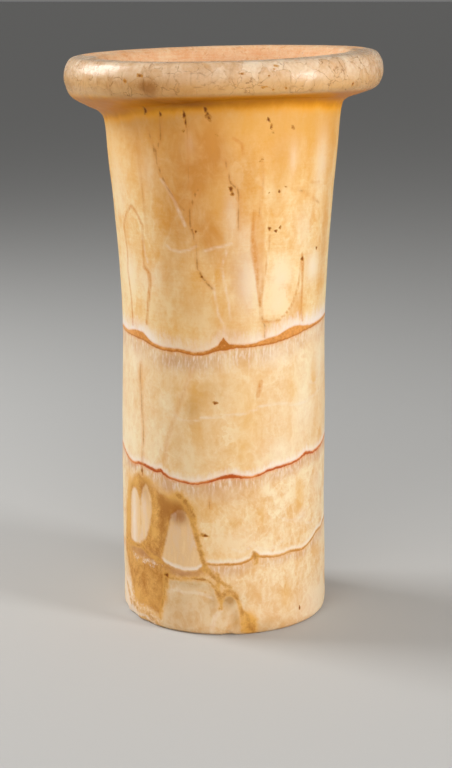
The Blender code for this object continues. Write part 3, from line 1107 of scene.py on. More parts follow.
class Cloud(Enum):
    """The stone's natural variations.

    Each has its blotches' size in millimetres, how many times taller than wide they are, how many
    finer sizes are added, how strong those are, and how far the blotches are twisted.
    """

    MOTTLE = (17.0, 1.4, 4.0, 0.55, 0.5)
    BLOTCH = (6.5, 1.5, 4.0, 0.62, 0.5)
    EARTH = (5.5, 1.5, 5.0, 0.66, 0.8)
    WANDER = (3.4, 1.0, 4.0, 0.65, 0.0)
    SHAKE = (1.9, 1.0, 3.0, 0.65, 0.0)
    CLOUDLET = (3.0, 0.8, 4.0, 0.7, 0.4)
    FLAME = (4.2, 1.35, 4.0, 0.62, 1.5)
    BUNDLE = (2.6, 3.6, 3.0, 0.6, 0.3)
    # Fibres are 0.1 to 0.3 mm wide, drawn about 1 mm wide to show
    FIBRE = (1.0, 6.0, 2.0, 0.55, 0.0)
    RAGGED = (1.3, 3.2, 3.0, 0.7, 0.0)
    DASH = (0.9, 4.2, 3.0, 0.65, 0.3)
    # Growth striae are 0.2 to 0.5 mm apart, drawn about 1.2 mm apart to show
    STRIA = (8.0, 0.11, 2.0, 0.6, 0.4)
    SPECK = (1.3, 1.0, 3.0, 0.7, 0.0)
    GRIT = (0.8, 1.0, 2.0, 0.7, 0.0)
    BREAK = (1.2, 1.0, 2.0, 0.6, 0.0)
    PATCH = (8.0, 1.0, 2.0, 0.5, 0.0)
    WORN = (4.5, 1.0, 4.0, 0.6, 0.0)


@dataclass(frozen=True)
class Pattern:
    """What the stone's nodes are built from.

    Attributes:
        add: Adds a node to the material.
        place: The place in the stone in millimetres.
        marks: What the mesh shows.
        clouds: The natural variations, mostly from -1 to 1.
        edges: What is known of each layer's edge, from the upper one down.
    """

    add: Adder
    place: Socket
    marks: dict[Mark, Socket]
    clouds: dict[Cloud, Socket]
    edges: list[Edge]

    @classmethod
    def drawn(cls, add: Adder) -> "Pattern":
        """Reads the mesh's marks and draws the natural variations.

        Args:
            add: Adds a node to the material.

        Returns:
            The pattern.
        """
        place = add("VectorMath", {0: add("TexCoord", {}, 3), 3: 1.0 / TO_METRES}, operation="SCALE")
        read = partial(add, "Attribute", {}, 2, attribute_type="GEOMETRY")
        clouds = {}
        for number, cloud in enumerate(Cloud):
            size, taller, detail, fineness, twist = cloud.value
            scale = (1.0 / size, 1.0 / size, 1.0 / (size * taller))
            moved = add("VectorMath", {0: place, 1: scale, 2: (5.3 * number, 2.9, 7.1)}, **TIMES_PLUS)
            blotches = add("TexNoise", {
                "Vector": moved,
                "Scale": 1.0,
                "Detail": detail,
                "Roughness": fineness,
                "Distortion": twist,
            })
            clouds[cloud] = add("Math", {0: blotches, 1: 5.0, 2: -2.5}, **TIMES_PLUS)
        marks = {mark: read(attribute_name=mark.value) for mark in Mark}
        edges = [
            {part: read(attribute_name=course.name + part.value) for part in EdgePart}
            for course in Layers.ALL
        ]
        return cls(add, place, marks, clouds, edges)

    def varied(self, value: Socket | float, weights: dict[Cloud, float]) -> Socket:
        """Adds natural variations to a value.

        Args:
            value: The value.
            weights: How much of each variation is added.

        Returns:
            The varied value.
        """
        for cloud, weight in weights.items():
            value = self.add("Math", {0: self.clouds[cloud], 1: weight, 2: value}, **TIMES_PLUS)
        return value

    def product(self, share: Socket, *others: Socket | float) -> Socket:
        """Multiplies a share by others, one after another.

        Args:
            share: The first share.
            others: The others.

        Returns:
            What is left of it.
        """
        for other in others:
            share = self.add("Math", {0: share, 1: other}, **TIMES)
        return share

    def stained(self, colour: Colour, value: Socket, rise: tuple, most: float, stain: Colour) -> Socket:
        """Stains a colour where a value is high.

        Args:
            colour: The colour so far.
            value: The value.
            rise: Where the stain starts to show and where it is strongest.
            most: How strong it is there.
            stain: The stain's colour.

        Returns:
            The new colour.
        """
        amount = self.add("MapRange", {0: value, 1: rise[0], 2: rise[1], 3: 0.0, 4: most}, **SOFT)
        return self.add("Mix", {0: amount, 6: colour, 7: stain}, **COLOURS)

    def overlaid(self, colour: Socket, most: float, *stains: tuple[Socket, Colour]) -> Socket:
        """Lays stains over a colour, one after another.

        Args:
            colour: The colour so far.
            most: The most that each may cover.
            stains: How much there is of each, and its colour.

        Returns:
            The new colour.
        """
        for amount, stain in stains:
            share = self.add("Clamp", {0: amount, 2: most})
            colour = self.add("Mix", {0: share, 6: colour, 7: stain}, **COLOURS)
        return colour


@dataclass(frozen=True)
class LayerColours:
    """How one growth layer's edge is coloured.

    Attributes:
        line: The iron-stained line.
        faint: The same line where it is weak.
        halo: The white calcite above it.
        halo_reach: Where the white starts and ends to fade, in mm above the line.
        raggedness: How far the white's upper edge wanders, in mm.
        under: The stained stone beneath it.
        under_reach: How far down that stain goes, in mm.
        under_strength: How strong the stain is.
    """

    line: str
    faint: str
    halo: str
    halo_reach: tuple[float, float]
    raggedness: float
    under: str
    under_reach: float
    under_strength: float


@dataclass(frozen=True)
class BandedAlabaster:
    """Calcite alabaster, carved, rubbed smooth with sand and worn to a soft polish.

    It is translucent, so its light parts glow and its shadows turn amber; under the rim that glow and
    shade are painted into its colour. It grew as upright fibres and crystals, which give it soft
    flame-like mottles under each layer's edge. Iron stains those edges and its old cracks orange and
    brown.
    """

    light_gold: str = "#FFE0AA"
    gold: str = "#F0B057"
    cream: str = "#FFE6BC"
    honey: str = "#EDBB7C"
    neck_gold: str = "#F2AE48"
    low_tan: str = "#DDAC7A"
    amber: str = "#D18833"
    golden: str = "#EDB052"
    umber: str = "#B98748"
    rose: str = "#D5A27C"
    chalk: str = "#FDE9D4"
    white: str = "#FFF8EE"
    ochre_light: str = "#F0B662"
    ochre: str = "#BE7A26"
    ochre_dark: str = "#A86214"
    vein: str = "#AA681E"
    gold_grit: str = "#EBB25C"
    fan: str = "#F8D19C"
    fan_dark: str = "#DFAC74"
    hairline: str = "#A2641E"
    lens: str = "#DF9440"
    dirt: str = "#864608"
    dirt_edge: str = "#C9862A"
    # Painted glow, then painted shade, under the rim
    groove: str = "#FFB010"
    groove_dark: str = "#D68604"
    groove_brown: str = "#9E5A04"
    rim_light: str = "#FAE0C0"
    rim: str = "#DEB080"
    rim_painted_shade: str = "#D8A460"
    rim_dark: str = "#BE894E"
    rim_smudge: str = "#A6682A"
    crazing: str = "#94602A"
    bore: str = "#EBA972"
    bore_light: str = "#F7D3A8"
    bore_dark: str = "#DC985C"
    ior: float = 1.5
    specular: float = 0.3
    subsurface: float = 0.15
    subsurface_scale: float = 2.0
    layers: tuple[LayerColours, ...] = (
        LayerColours("#C0701C", "#F0A656", "#FFEBDE", (-0.4, 6.4), 5.0, "#D6A274", 11.0, 0.46),
        LayerColours("#BC5206", "#EE9850", "#FFECDC", (0.2, 3.4), 2.0, "#D6A074", 7.0, 0.66),
        LayerColours("#CC8A3C", "#F2BE7E", "#FFEED8", (0.3, 2.4), 0.8, "#DAA472", 5.0, 0.6),
    )

    def material(self) -> bpy.types.Material:
        """Builds the material.

        Returns:
            The finished material.
        """
        made = bpy.data.materials.new("banded_calcite_alabaster")
        made.use_nodes = True
        made.node_tree.nodes.clear()
        add = partial(add_node, made.node_tree)
        pattern = Pattern.drawn(add)
        colour = self.body_colour(pattern)
        for edge, look in zip(pattern.edges, self.layers):
            colour = self.layer_edge(pattern, colour, edge, look)
        for treat in (self.inclusion, self.groove_glow, self.fractures):
            colour = treat(pattern, colour)
        colour, crazing = self.rim_stone(pattern, colour)
        colour = self.bore_stone(pattern, colour)
        colour, dirt = self.pit_dirt(pattern, colour)
        shader = add("BsdfPrincipled", {
            "Base Color": colour,
            "Roughness": self.roughness(pattern, dirt),
            "Normal": self.grain(pattern, crazing),
            "IOR": self.ior,
            "Specular IOR Level": self.specular,
            "Subsurface Weight": self.subsurface,
            "Subsurface Radius": (1.0, 0.7, 0.4),
            "Subsurface Scale": self.subsurface_scale * TO_METRES,
        })
        add("OutputMaterial", {"Surface": shader})
        return made

    def body_colour(self, pattern: Pattern) -> Socket:
        """Colours the plain stone: golden above the upper layer's edge, cream and honey below it.

        Args:
            pattern: What the nodes are built from.

        Returns:
            The colour.
        """
        add, marks = pattern.add, pattern.marks
        tone = pattern.varied(0.49, {
            Cloud.MOTTLE: 0.25,
            Cloud.BLOTCH: 0.25,
            Cloud.CLOUDLET: 0.12,
            Cloud.BUNDLE: 0.06,
            Cloud.FIBRE: 0.045,
            Cloud.SPECK: 0.09,
            Cloud.GRIT: 0.08,
        })
        # Pale stains lighten the stone; on the flanks they are partly painted sheen
        tone = add("Math", {0: marks[Mark.PALE], 1: -0.62, 2: tone}, **TIMES_PLUS)

        # Crystals 3 to 4 mm wide and twice as tall, and a few large ones, each with its own tone
        swirl = add("TexNoise", {"Vector": pattern.place, "Scale": 0.21, "Detail": 3.0}, 1)
        bent = add("VectorMath", {0: swirl, 1: (6.0, 6.0, 9.0), 2: pattern.place}, **TIMES_PLUS)
        above_middle = pattern.edges[1][EdgePart.ABOVE]
        crystalline = add("MapRange", {0: above_middle, 1: 3.0, 2: -5.0, 3: 0.1, 4: 0.34}, **SOFT)
        flames = add("Math", {0: pattern.clouds[Cloud.FLAME], 1: crystalline}, **TIMES)
        tone = add("Math", {0: flames, 1: 1.1, 2: tone}, **TIMES_PLUS)
        for size, weight in (((3.6, 3.6, 6.5), crystalline), ((15.0, 15.0, 36.0), 0.36)):
            scaled = add("VectorMath", {0: bent, 1: tuple(1.0 / length for length in size)}, **TIMES)
            cells = {"Vector": scaled, "Scale": 1.0}
            shade = add("SeparateColor", {0: add("TexVoronoi", cells, 1)})
            shade = add("Math", {0: shade, 1: 0.5}, operation="SUBTRACT")
            seam = add("TexVoronoi", cells, feature="DISTANCE_TO_EDGE")
            seam = add("MapRange", {0: seam, 1: 0.0, 2: 0.09, 3: -0.5, 4: 0.0}, **SOFT)
            for change in (shade, seam):
                tone = add("Math", {0: change, 1: weight, 2: tone}, **TIMES_PLUS)

        # Fine striae lie across the fibres in the upper part
        upper = pattern.varied(pattern.edges[0][EdgePart.ABOVE], {Cloud.WANDER: 1.3})
        upper = add("MapRange", {0: upper, 1: -0.5, 2: 9.0}, **SOFT)
        striae = add("Math", {0: pattern.clouds[Cloud.STRIA], 1: upper}, **TIMES)
        tone = add("Clamp", {0: add("Math", {0: striae, 1: 0.09, 2: tone}, **TIMES_PLUS)})
        below = add("Mix", {0: tone, 6: self.cream, 7: self.honey}, **COLOURS)
        above = add("Mix", {0: tone, 6: self.light_gold, 7: self.gold}, **COLOURS)
        colour = add("Mix", {0: upper, 6: below, 7: above}, **COLOURS)
        height = add("SeparateXYZ", {0: pattern.place}, 2)
        colour = pattern.stained(colour, height, (148.0, 196.0), 0.58, self.neck_gold)
        colour = pattern.stained(colour, height, (34.0, 0.0), 0.32, self.low_tan)

        uneven = pattern.varied(0.8, {Cloud.BLOTCH: 0.24})
        for mark, share, stain in (
            (Mark.AMBER, 1.0, self.amber),
            (Mark.GOLDEN, 1.0, self.golden),
            (Mark.ROSE, 1.0, self.rose),
            (Mark.UMBER, 1.0, self.umber),
            (Mark.PALE, 0.55, self.chalk),
        ):
            amount = pattern.product(marks[mark], uneven, share)
            colour = pattern.overlaid(colour, 0.92, (amount, stain))

        # Stone between two cracks is stained orange
        wedge = pattern.varied(marks[Mark.WEDGE], {Cloud.WANDER: 0.4})
        return pattern.stained(colour, wedge, (-0.9, 1.2), 0.36, self.lens)

    def layer_edge(self, pattern: Pattern, colour: Socket, edge: Edge, look: LayerColours) -> Socket:
        """Draws a layer's iron-stained line, the white calcite above it and the stain beneath.

        Args:
            pattern: What the nodes are built from.
            colour: The colour so far.
            edge: What is known of the layer's edge.
            look: Its colours.

        Returns:
            The new colour.
        """
        add, clouds, strength = pattern.add, pattern.clouds, edge[EdgePart.STRENGTH]
        above = pattern.varied(edge[EdgePart.ABOVE], {Cloud.SHAKE: 0.2})
        over = add("Math", {0: above, 1: edge[EdgePart.DEPTH]}, operation="SUBTRACT")
        seen = add("MapRange", {0: strength, 1: 0.0, 2: 0.3}, **SOFT)

        # The stone beneath is stained, with short white fibres in it
        reach = add("MapRange", {0: above, 1: -look.under_reach, 2: -0.3}, **SOFT)
        below = add("MapRange", {0: above, 1: -0.4, 2: 0.2, 3: 1.0, 4: 0.0}, **SOFT)
        below = add("Math", {0: below, 1: reach}, **TIMES)
        uneven = add("MapRange", {0: clouds[Cloud.BLOTCH], 1: -1.0, 2: 1.0, 3: 0.4, 4: 1.6})
        under = pattern.product(below, uneven, look.under_strength)
        dashes = add("MapRange", {0: clouds[Cloud.DASH], 1: -0.3, 2: 1.1, 3: 0.0, 4: 0.8}, **SOFT)
        dashes = add("Math", {0: dashes, 1: below}, **TIMES)

        # The white part is ragged at its top, where fibres of different length end
        ragged = pattern.varied(over, {Cloud.RAGGED: 0.45 * look.raggedness})
        start, end = look.halo_reach
        white = add("MapRange", {0: ragged, 1: start, 2: end, 3: 1.0, 4: 0.0}, **SOFT)
        starts = add("MapRange", {0: over, 1: -0.2, 2: 0.4}, **SOFT)
        white = pattern.product(white, starts, seen, edge[EdgePart.WHITE], 0.92)

        # The line glows a little past its edges and is darkest where the iron is thickest
        glow = add("MapRange", {0: above, 1: -1.6, 2: -0.1, 3: 0.0, 4: 0.4}, **SOFT)
        fades = add("MapRange", {0: over, 1: 0.0, 2: 1.1, 3: 1.0, 4: 0.0}, **SOFT)
        glow = pattern.product(glow, fades, seen)
        rich = pattern.varied(1.0, {Cloud.SPECK: 0.3})
        thin = add("MapRange", {0: above, 1: -0.1, 2: 0.8, 3: 0.3, 4: -0.1}, **SOFT)
        rich = add("Math", {0: rich, 1: strength, 2: thin}, **TIMES_PLUS)
        iron = pattern.stained(look.faint, rich, (0.3, 1.1), 1.0, look.line)
        line = add("MapRange", {0: above, 1: -0.42, 2: 0.1}, **SOFT)
        upper = add("MapRange", {0: over, 1: -0.2, 2: 0.45, 3: 1.0, 4: 0.0}, **SOFT)
        line = pattern.product(line, upper, seen)
        for amount, stain in (
            (under, look.under),
            (dashes, self.chalk),
            (white, look.halo),
            (glow, look.faint),
            (line, iron),
        ):
            colour = add("Mix", {0: amount, 6: colour, 7: stain}, **COLOURS)
        return colour

    def inclusion(self, pattern: Pattern, colour: Socket) -> Socket:
        """Colours the ochre inclusion, the pale fan in it and the chalky places.

        Args:
            pattern: What the nodes are built from.
            colour: The colour so far.

        Returns:
            The new colour.
        """
        add, marks, clouds = pattern.add, pattern.marks, pattern.clouds
        edge = pattern.varied(marks[Mark.OCHRE], {Cloud.WANDER: 0.75, Cloud.SHAKE: 0.35})
        tone = pattern.varied(0.5, {
            Cloud.EARTH: 0.42,
            Cloud.MOTTLE: 0.3,
            Cloud.GRIT: 0.2,
            Cloud.CLOUDLET: 0.2,
        })
        earth = add("Mix", {0: add("Clamp", {0: tone}), 6: self.ochre_light, 7: self.ochre}, **COLOURS)
        core = pattern.varied(marks[Mark.CORE], {Cloud.WANDER: 1.0, Cloud.EARTH: 0.9})
        core = add("MapRange", {0: core, 1: -1.6, 2: 2.6, 3: 0.0, 4: 0.85}, **SOFT)
        grit = add("MapRange", {0: clouds[Cloud.SPECK], 1: 0.35, 2: 1.3, 3: 0.0, 4: 0.6}, **SOFT)
        bright = add("MapRange", {0: clouds[Cloud.BREAK], 1: 0.5, 2: 1.2, 3: 0.0, 4: 0.6}, **SOFT)
        border = add("MapRange", {0: edge, 1: 0.0, 2: 2.4, 3: 0.35, 4: 0.0}, **SOFT)
        earth = pattern.overlaid(
            earth,
            0.85,
            (core, self.ochre_dark),
            (grit, self.ochre_dark),
            (bright, self.gold_grit),
            (border, self.amber),
            (marks[Mark.GOLDEN], self.gold_grit),
            (marks[Mark.ROSE], self.rose),
            (marks[Mark.UMBER], self.ochre_dark),
        )

        # A brown stain spreads from the inclusion into the stone around it
        colour = pattern.stained(colour, edge, (-2.6, 0.2), 0.5, self.golden)
        colour = pattern.stained(colour, edge, (-1.1, 1.2), 1.0, earth)

        tone = add("Clamp", {0: pattern.varied(0.35, {Cloud.BUNDLE: 0.3})})
        pale = add("Mix", {0: tone, 6: self.fan, 7: self.fan_dark}, **COLOURS)
        blotch = pattern.varied(marks[Mark.UMBER], {Cloud.BUNDLE: 0.16})
        pale = pattern.stained(pale, blotch, (0.0, 1.3), 0.85, self.ochre_dark)
        light = pattern.varied(marks[Mark.PALE], {Cloud.BUNDLE: 0.3})
        pale = pattern.overlaid(pale, 0.85, (light, self.chalk))
        fan = pattern.varied(marks[Mark.FAN], {Cloud.SHAKE: 0.3})
        shown = add("MapRange", {0: fan, 1: -0.5, 2: 0.8}, **SOFT)
        colour = add("Mix", {0: shown, 6: colour, 7: pale}, **COLOURS)

        # The lower layer's edge runs on through the fan, white above and rusty beneath
        over = pattern.varied(pattern.edges[2][EdgePart.ABOVE], {Cloud.SHAKE: 0.15})
        for start, end, fades, faded, stain in (
            (0.0, 0.7, 0.8, 2.4, self.chalk),
            (-3.6, -2.2, -0.6, 0.3, self.rose),
        ):
            rises = add("MapRange", {0: over, 1: start, 2: end, 3: 0.0, 4: 0.75}, **SOFT)
            falls = add("MapRange", {0: over, 1: fades, 2: faded, 3: 1.0, 4: 0.0}, **SOFT)
            amount = pattern.product(rises, falls, shown)
            colour = add("Mix", {0: amount, 6: colour, 7: stain}, **COLOURS)

        chalk = pattern.varied(marks[Mark.CHALK], {Cloud.WANDER: 1.2, Cloud.SPECK: 1.1, Cloud.GRIT: 1.3})
        return pattern.stained(colour, chalk, (-1.0, 2.2), 0.7, self.chalk)

    def fractures(self, pattern: Pattern, colour: Socket) -> Socket:
        """Draws healed white cracks, orange ones, brown veins and dirty hairlines.

        Args:
            pattern: What the nodes are built from.
            colour: The colour so far.

        Returns:
            The new colour.
        """
        add, clouds = pattern.add, pattern.clouds
        broken = add("MapRange", {0: clouds[Cloud.BREAK], 1: -0.9, 2: 0.5, 3: 0.66, 4: 1.0}, **SOFT)
        grit = pattern.varied(clouds[Cloud.EARTH], {Cloud.SPECK: 0.35})
        veined = pattern.stained(self.vein, grit, (-1.0, 1.0), 0.8, self.gold_grit)
        for mark, stain, wander, start, end, most in (
            (Mark.HEALED, self.chalk, 0.2, -1.8, 1.0, 0.42),
            (Mark.LENS, self.lens, 0.2, -1.8, 0.8, 0.9),
            (Mark.VEIN, self.golden, 0.9, -2.2, 0.4, 0.7),
            (Mark.VEIN, veined, 0.9, -1.2, 1.0, 0.85),
            (Mark.HAIRLINE, self.lens, 0.2, -3.0, 0.4, 0.45),
            (Mark.HAIRLINE, self.hairline, 0.2, -0.8, 0.8, 0.74),
        ):
            line = pattern.varied(pattern.marks[mark], {Cloud.SHAKE: wander})
            amount = add("MapRange", {0: line, 1: start, 2: end, 3: 0.0, 4: most}, **SOFT)
            if mark is not Mark.VEIN:
                amount = add("Math", {0: amount, 1: broken}, **TIMES)
            colour = add("Mix", {0: amount, 6: colour, 7: stain}, **COLOURS)
        return colour

    def groove_glow(self, pattern: Pattern, colour: Socket) -> Socket:
        """Paints amber glow and shade under the rim, where light would come only through the stone.

        Args:
            pattern: What the nodes are built from.
            colour: The colour so far.

        Returns:
            The new colour.
        """
        add, marks = pattern.add, pattern.marks
        amount = pattern.varied(marks[Mark.GROOVE], {Cloud.BLOTCH: 0.12})
        # Painted glow: bright amber where light would come only through the stone
        soft = add("MapRange", {0: amount, 1: 0.0, 2: 0.9}, **SOFT)
        colour = add("Mix", {0: soft, 6: colour, 7: self.groove}, **COLOURS)
        # Painted shade: deeper amber where the mask is strongest
        colour = pattern.stained(colour, amount, (0.45, 1.05), 0.95, self.groove_dark)
        # Along the crease under the rim the brown is partly brown stain and partly painted shade
        brown = add("Math", {0: marks[Mark.UMBER], 1: soft}, **TIMES)
        return pattern.overlaid(colour, 0.8, (brown, self.groove_brown))

    def rim_stone(self, pattern: Pattern, colour: Socket) -> tuple[Socket, Socket]:
        """Colours the rim: a greyer, polished skin with fine dark crazing and growth lines, and painted
        shade on its lower part.

        Args:
            pattern: What the nodes are built from.
            colour: The colour so far.

        Returns:
            The new colour, and the crazing as a mask.
        """
        add, marks, clouds, place = pattern.add, pattern.marks, pattern.clouds, pattern.place
        # Crazing in cells 3 to 10 mm wide, each with its own tone, its lines drawn 0.3 mm wide to show
        warp = add("TexNoise", {"Vector": place, "Scale": 0.3, "Detail": 4.0}, 1)
        bent = add("VectorMath", {0: warp, 1: (5.0, 5.0, 5.0), 2: place}, **TIMES_PLUS)
        cells = {"Vector": bent, "Scale": 0.16}
        shade = add("SeparateColor", {0: add("TexVoronoi", cells, 1)})
        tone = add("Math", {0: shade, 1: 0.56, 2: 0.16}, **TIMES_PLUS)
        tone = add("Clamp", {0: pattern.varied(tone, {Cloud.BLOTCH: 0.34, Cloud.SPECK: 0.18})})
        skin = add("Mix", {0: tone, 6: self.rim_light, 7: self.rim}, **COLOURS)
        dark = add("MapRange", {0: clouds[Cloud.EARTH], 1: -0.3, 2: 1.2, 3: 0.0, 4: 0.5}, **SOFT)
        # Painted shade: the rim's lower part, which faces down, is painted darker
        height = pattern.varied(add("SeparateXYZ", {0: place}, 2), {Cloud.BLOTCH: 1.0})
        lower = add("MapRange", {0: height, 1: 210.5, 2: 203.0, 3: 0.0, 4: 0.8}, **SOFT)

        # Upright growth layers are cut by the rim's left and right ends, about 1.6 mm apart
        across = add("SeparateXYZ", {0: place})
        run = pattern.varied(across, {Cloud.MOTTLE: 3.5})
        run = add("Math", {0: run, 1: math.tau / 1.6}, **TIMES)
        wave = add("Math", {0: run}, operation="SINE")
        wave = add("MapRange", {0: wave, 1: 0.1, 2: 1.0, 3: 0.0, 4: 0.36}, **SOFT)
        far = add("Math", {0: across}, operation="ABSOLUTE")
        far = add("MapRange", {0: far, 1: 42.0, 2: 52.0}, **SOFT)
        lines = add("Math", {0: wave, 1: far}, **TIMES)
        smudge = pattern.varied(marks[Mark.UMBER], {Cloud.EARTH: 0.42})
        smudge = add("MapRange", {0: smudge, 1: 0.0, 2: 1.2, 3: 0.0, 4: 0.8}, **SOFT)
        skin = pattern.overlaid(
            skin,
            0.85,
            (lower, self.rim_painted_shade),
            (dark, self.rim_dark),
            (lines, self.rim_dark),
            (marks[Mark.AMBER], self.amber),
            (marks[Mark.GOLDEN], self.golden),
            (smudge, self.rim_smudge),
            (marks[Mark.PALE], self.chalk),
        )

        crazing = add("TexVoronoi", cells, feature="DISTANCE_TO_EDGE")
        crazing = add("MapRange", {0: crazing, 1: 0.004, 2: 0.04, 3: 1.0, 4: 0.0}, **SOFT)
        shown = add("MapRange", {0: clouds[Cloud.PATCH], 1: -0.9, 2: 0.5}, **SOFT)
        broken = add("MapRange", {0: clouds[Cloud.BREAK], 1: -0.9, 2: 0.6, 3: 0.1, 4: 1.0}, **SOFT)
        crazing = pattern.product(crazing, shown, broken)
        dots = add("MapRange", {0: clouds[Cloud.GRIT], 1: 1.15, 2: 1.6, 3: 0.0, 4: 0.7}, **SOFT)
        crack = add("MapRange", {0: marks[Mark.HAIRLINE], 1: -0.8, 2: 0.8}, **SOFT)
        for line in (dots, crack):
            crazing = add("Math", {0: crazing, 1: line}, operation="MAXIMUM")
        amount = add("Math", {0: crazing, 1: 0.7}, **TIMES)
        skin = add("Mix", {0: amount, 6: skin, 7: self.crazing}, **COLOURS)
        edge = pattern.varied(marks[Mark.RIM], {Cloud.BLOTCH: 0.12})
        on_rim = add("MapRange", {0: edge, 1: 0.1, 2: 0.9}, **SOFT)
        colour = add("Mix", {0: on_rim, 6: colour, 7: skin}, **COLOURS)
        return colour, add("Math", {0: crazing, 1: on_rim}, **TIMES)

    def bore_stone(self, pattern: Pattern, colour: Socket) -> Socket:
        """Colours the bore: never polished, so rough and salmon pink, with painted glints of its crystal
        ends.

        Args:
            pattern: What the nodes are built from.
            colour: The colour so far.

        Returns:
            The new colour.
        """
        add = pattern.add
        tone = pattern.varied(0.5, {Cloud.EARTH: 0.28, Cloud.GRIT: 0.2, Cloud.STRIA: 0.2})
        rough = add("Mix", {0: add("Clamp", {0: tone}), 6: self.bore_light, 7: self.bore}, **COLOURS)
        # White specks are painted glints of crystal ends
        for cloud, start, most, stain in (
            (Cloud.CLOUDLET, 0.3, 0.5, self.bore_dark),
            (Cloud.GRIT, 0.9, 0.9, self.white),
            (Cloud.BREAK, 0.9, 0.5, self.vein),
        ):
            rough = pattern.stained(rough, pattern.clouds[cloud], (start, start + 0.4), most, stain)
        edge = pattern.varied(pattern.marks[Mark.BORE], {Cloud.WANDER: 0.12})
        return pattern.stained(colour, edge, (0.35, 0.65), 1.0, rough)

    def pit_dirt(self, pattern: Pattern, colour: Socket) -> tuple[Socket, Socket]:
        """Fills the pits with brown dirt that stains their edges orange.

        Args:
            pattern: What the nodes are built from.
            colour: The colour so far.

        Returns:
            The new colour, and the dirt as a mask.
        """
        add, pits = pattern.add, pattern.marks[Mark.PIT]
        uneven = pattern.varied(pits, {Cloud.GRIT: 0.2})
        near = add("MapRange", {0: pits, 1: 0.02, 2: 0.12})
        spread = add("MapRange", {0: uneven, 1: 0.02, 2: 0.3, 3: 0.0, 4: 0.85}, **SOFT)
        spread = add("Math", {0: spread, 1: near}, **TIMES)
        dirt = add("MapRange", {0: uneven, 1: 0.34, 2: 0.8, 3: 0.0, 4: 0.95}, **SOFT)
        for amount, stain in ((spread, self.dirt_edge), (dirt, self.dirt)):
            colour = add("Mix", {0: amount, 6: colour, 7: stain}, **COLOURS)
        return colour, dirt

    def roughness(self, pattern: Pattern, dirt: Socket) -> Socket:
        """Makes the rim glossier than the wall, and the bore, the ochre and the dirt dull.

        Args:
            pattern: What the nodes are built from.
            dirt: The dirt's mask.

        Returns:
            The roughness.
        """
        add, marks = pattern.add, pattern.marks
        value = pattern.varied(0.44, {Cloud.WORN: 0.05})
        ochre = add("MapRange", {0: marks[Mark.OCHRE], 1: -0.5, 2: 1.0})
        chalk = add("MapRange", {0: marks[Mark.CHALK], 1: -0.5, 2: 1.0})
        for mask, change in (
            (marks[Mark.RIM], -0.19),
            (marks[Mark.BORE], 0.35),
            (ochre, 0.10),
            (chalk, 0.12),
            (dirt, 0.3),
        ):
            value = add("Math", {0: mask, 1: change, 2: value}, **TIMES_PLUS)
        return add("Clamp", {0: value, 1: 0.2, 2: 0.92})

    def grain(self, pattern: Pattern, crazing: Socket) -> Socket:
        """Gives the surface its fine unevenness: rubbing marks, crystal grain and open hairlines.

        Args:
            pattern: What the nodes are built from.
            crazing: The rim's crazing.

        Returns:
            The normal.
        """
        add, marks, clouds = pattern.add, pattern.marks, pattern.clouds
        ochre = add("MapRange", {0: marks[Mark.OCHRE], 1: -0.5, 2: 1.0, 3: 0.0, 4: 0.45})
        dull = add("Math", {0: marks[Mark.BORE], 1: ochre}, operation="MAXIMUM")
        coarse = add("MapRange", {0: dull, 1: 0.0, 2: 1.0, 3: 0.004, 4: 0.034})
        height = add("Math", {0: clouds[Cloud.GRIT], 1: coarse}, **TIMES)
        height = pattern.varied(height, {Cloud.WORN: 0.014, Cloud.SHAKE: 0.006})
        for value, change in (
            (add("Math", {0: clouds[Cloud.BLOTCH], 1: marks[Mark.RIM]}, **TIMES), 0.05),
            (add("MapRange", {0: marks[Mark.HAIRLINE], 1: -0.8, 2: 0.4}), -0.005),
            (add("MapRange", {0: marks[Mark.VEIN], 1: -0.5, 2: 0.4}), -0.012),
            (crazing, -0.004),
        ):
            height = add("Math", {0: value, 1: change, 2: height}, **TIMES_PLUS)
        return add("Bump", {"Strength": 1.0, "Distance": TO_METRES, "Height": height})


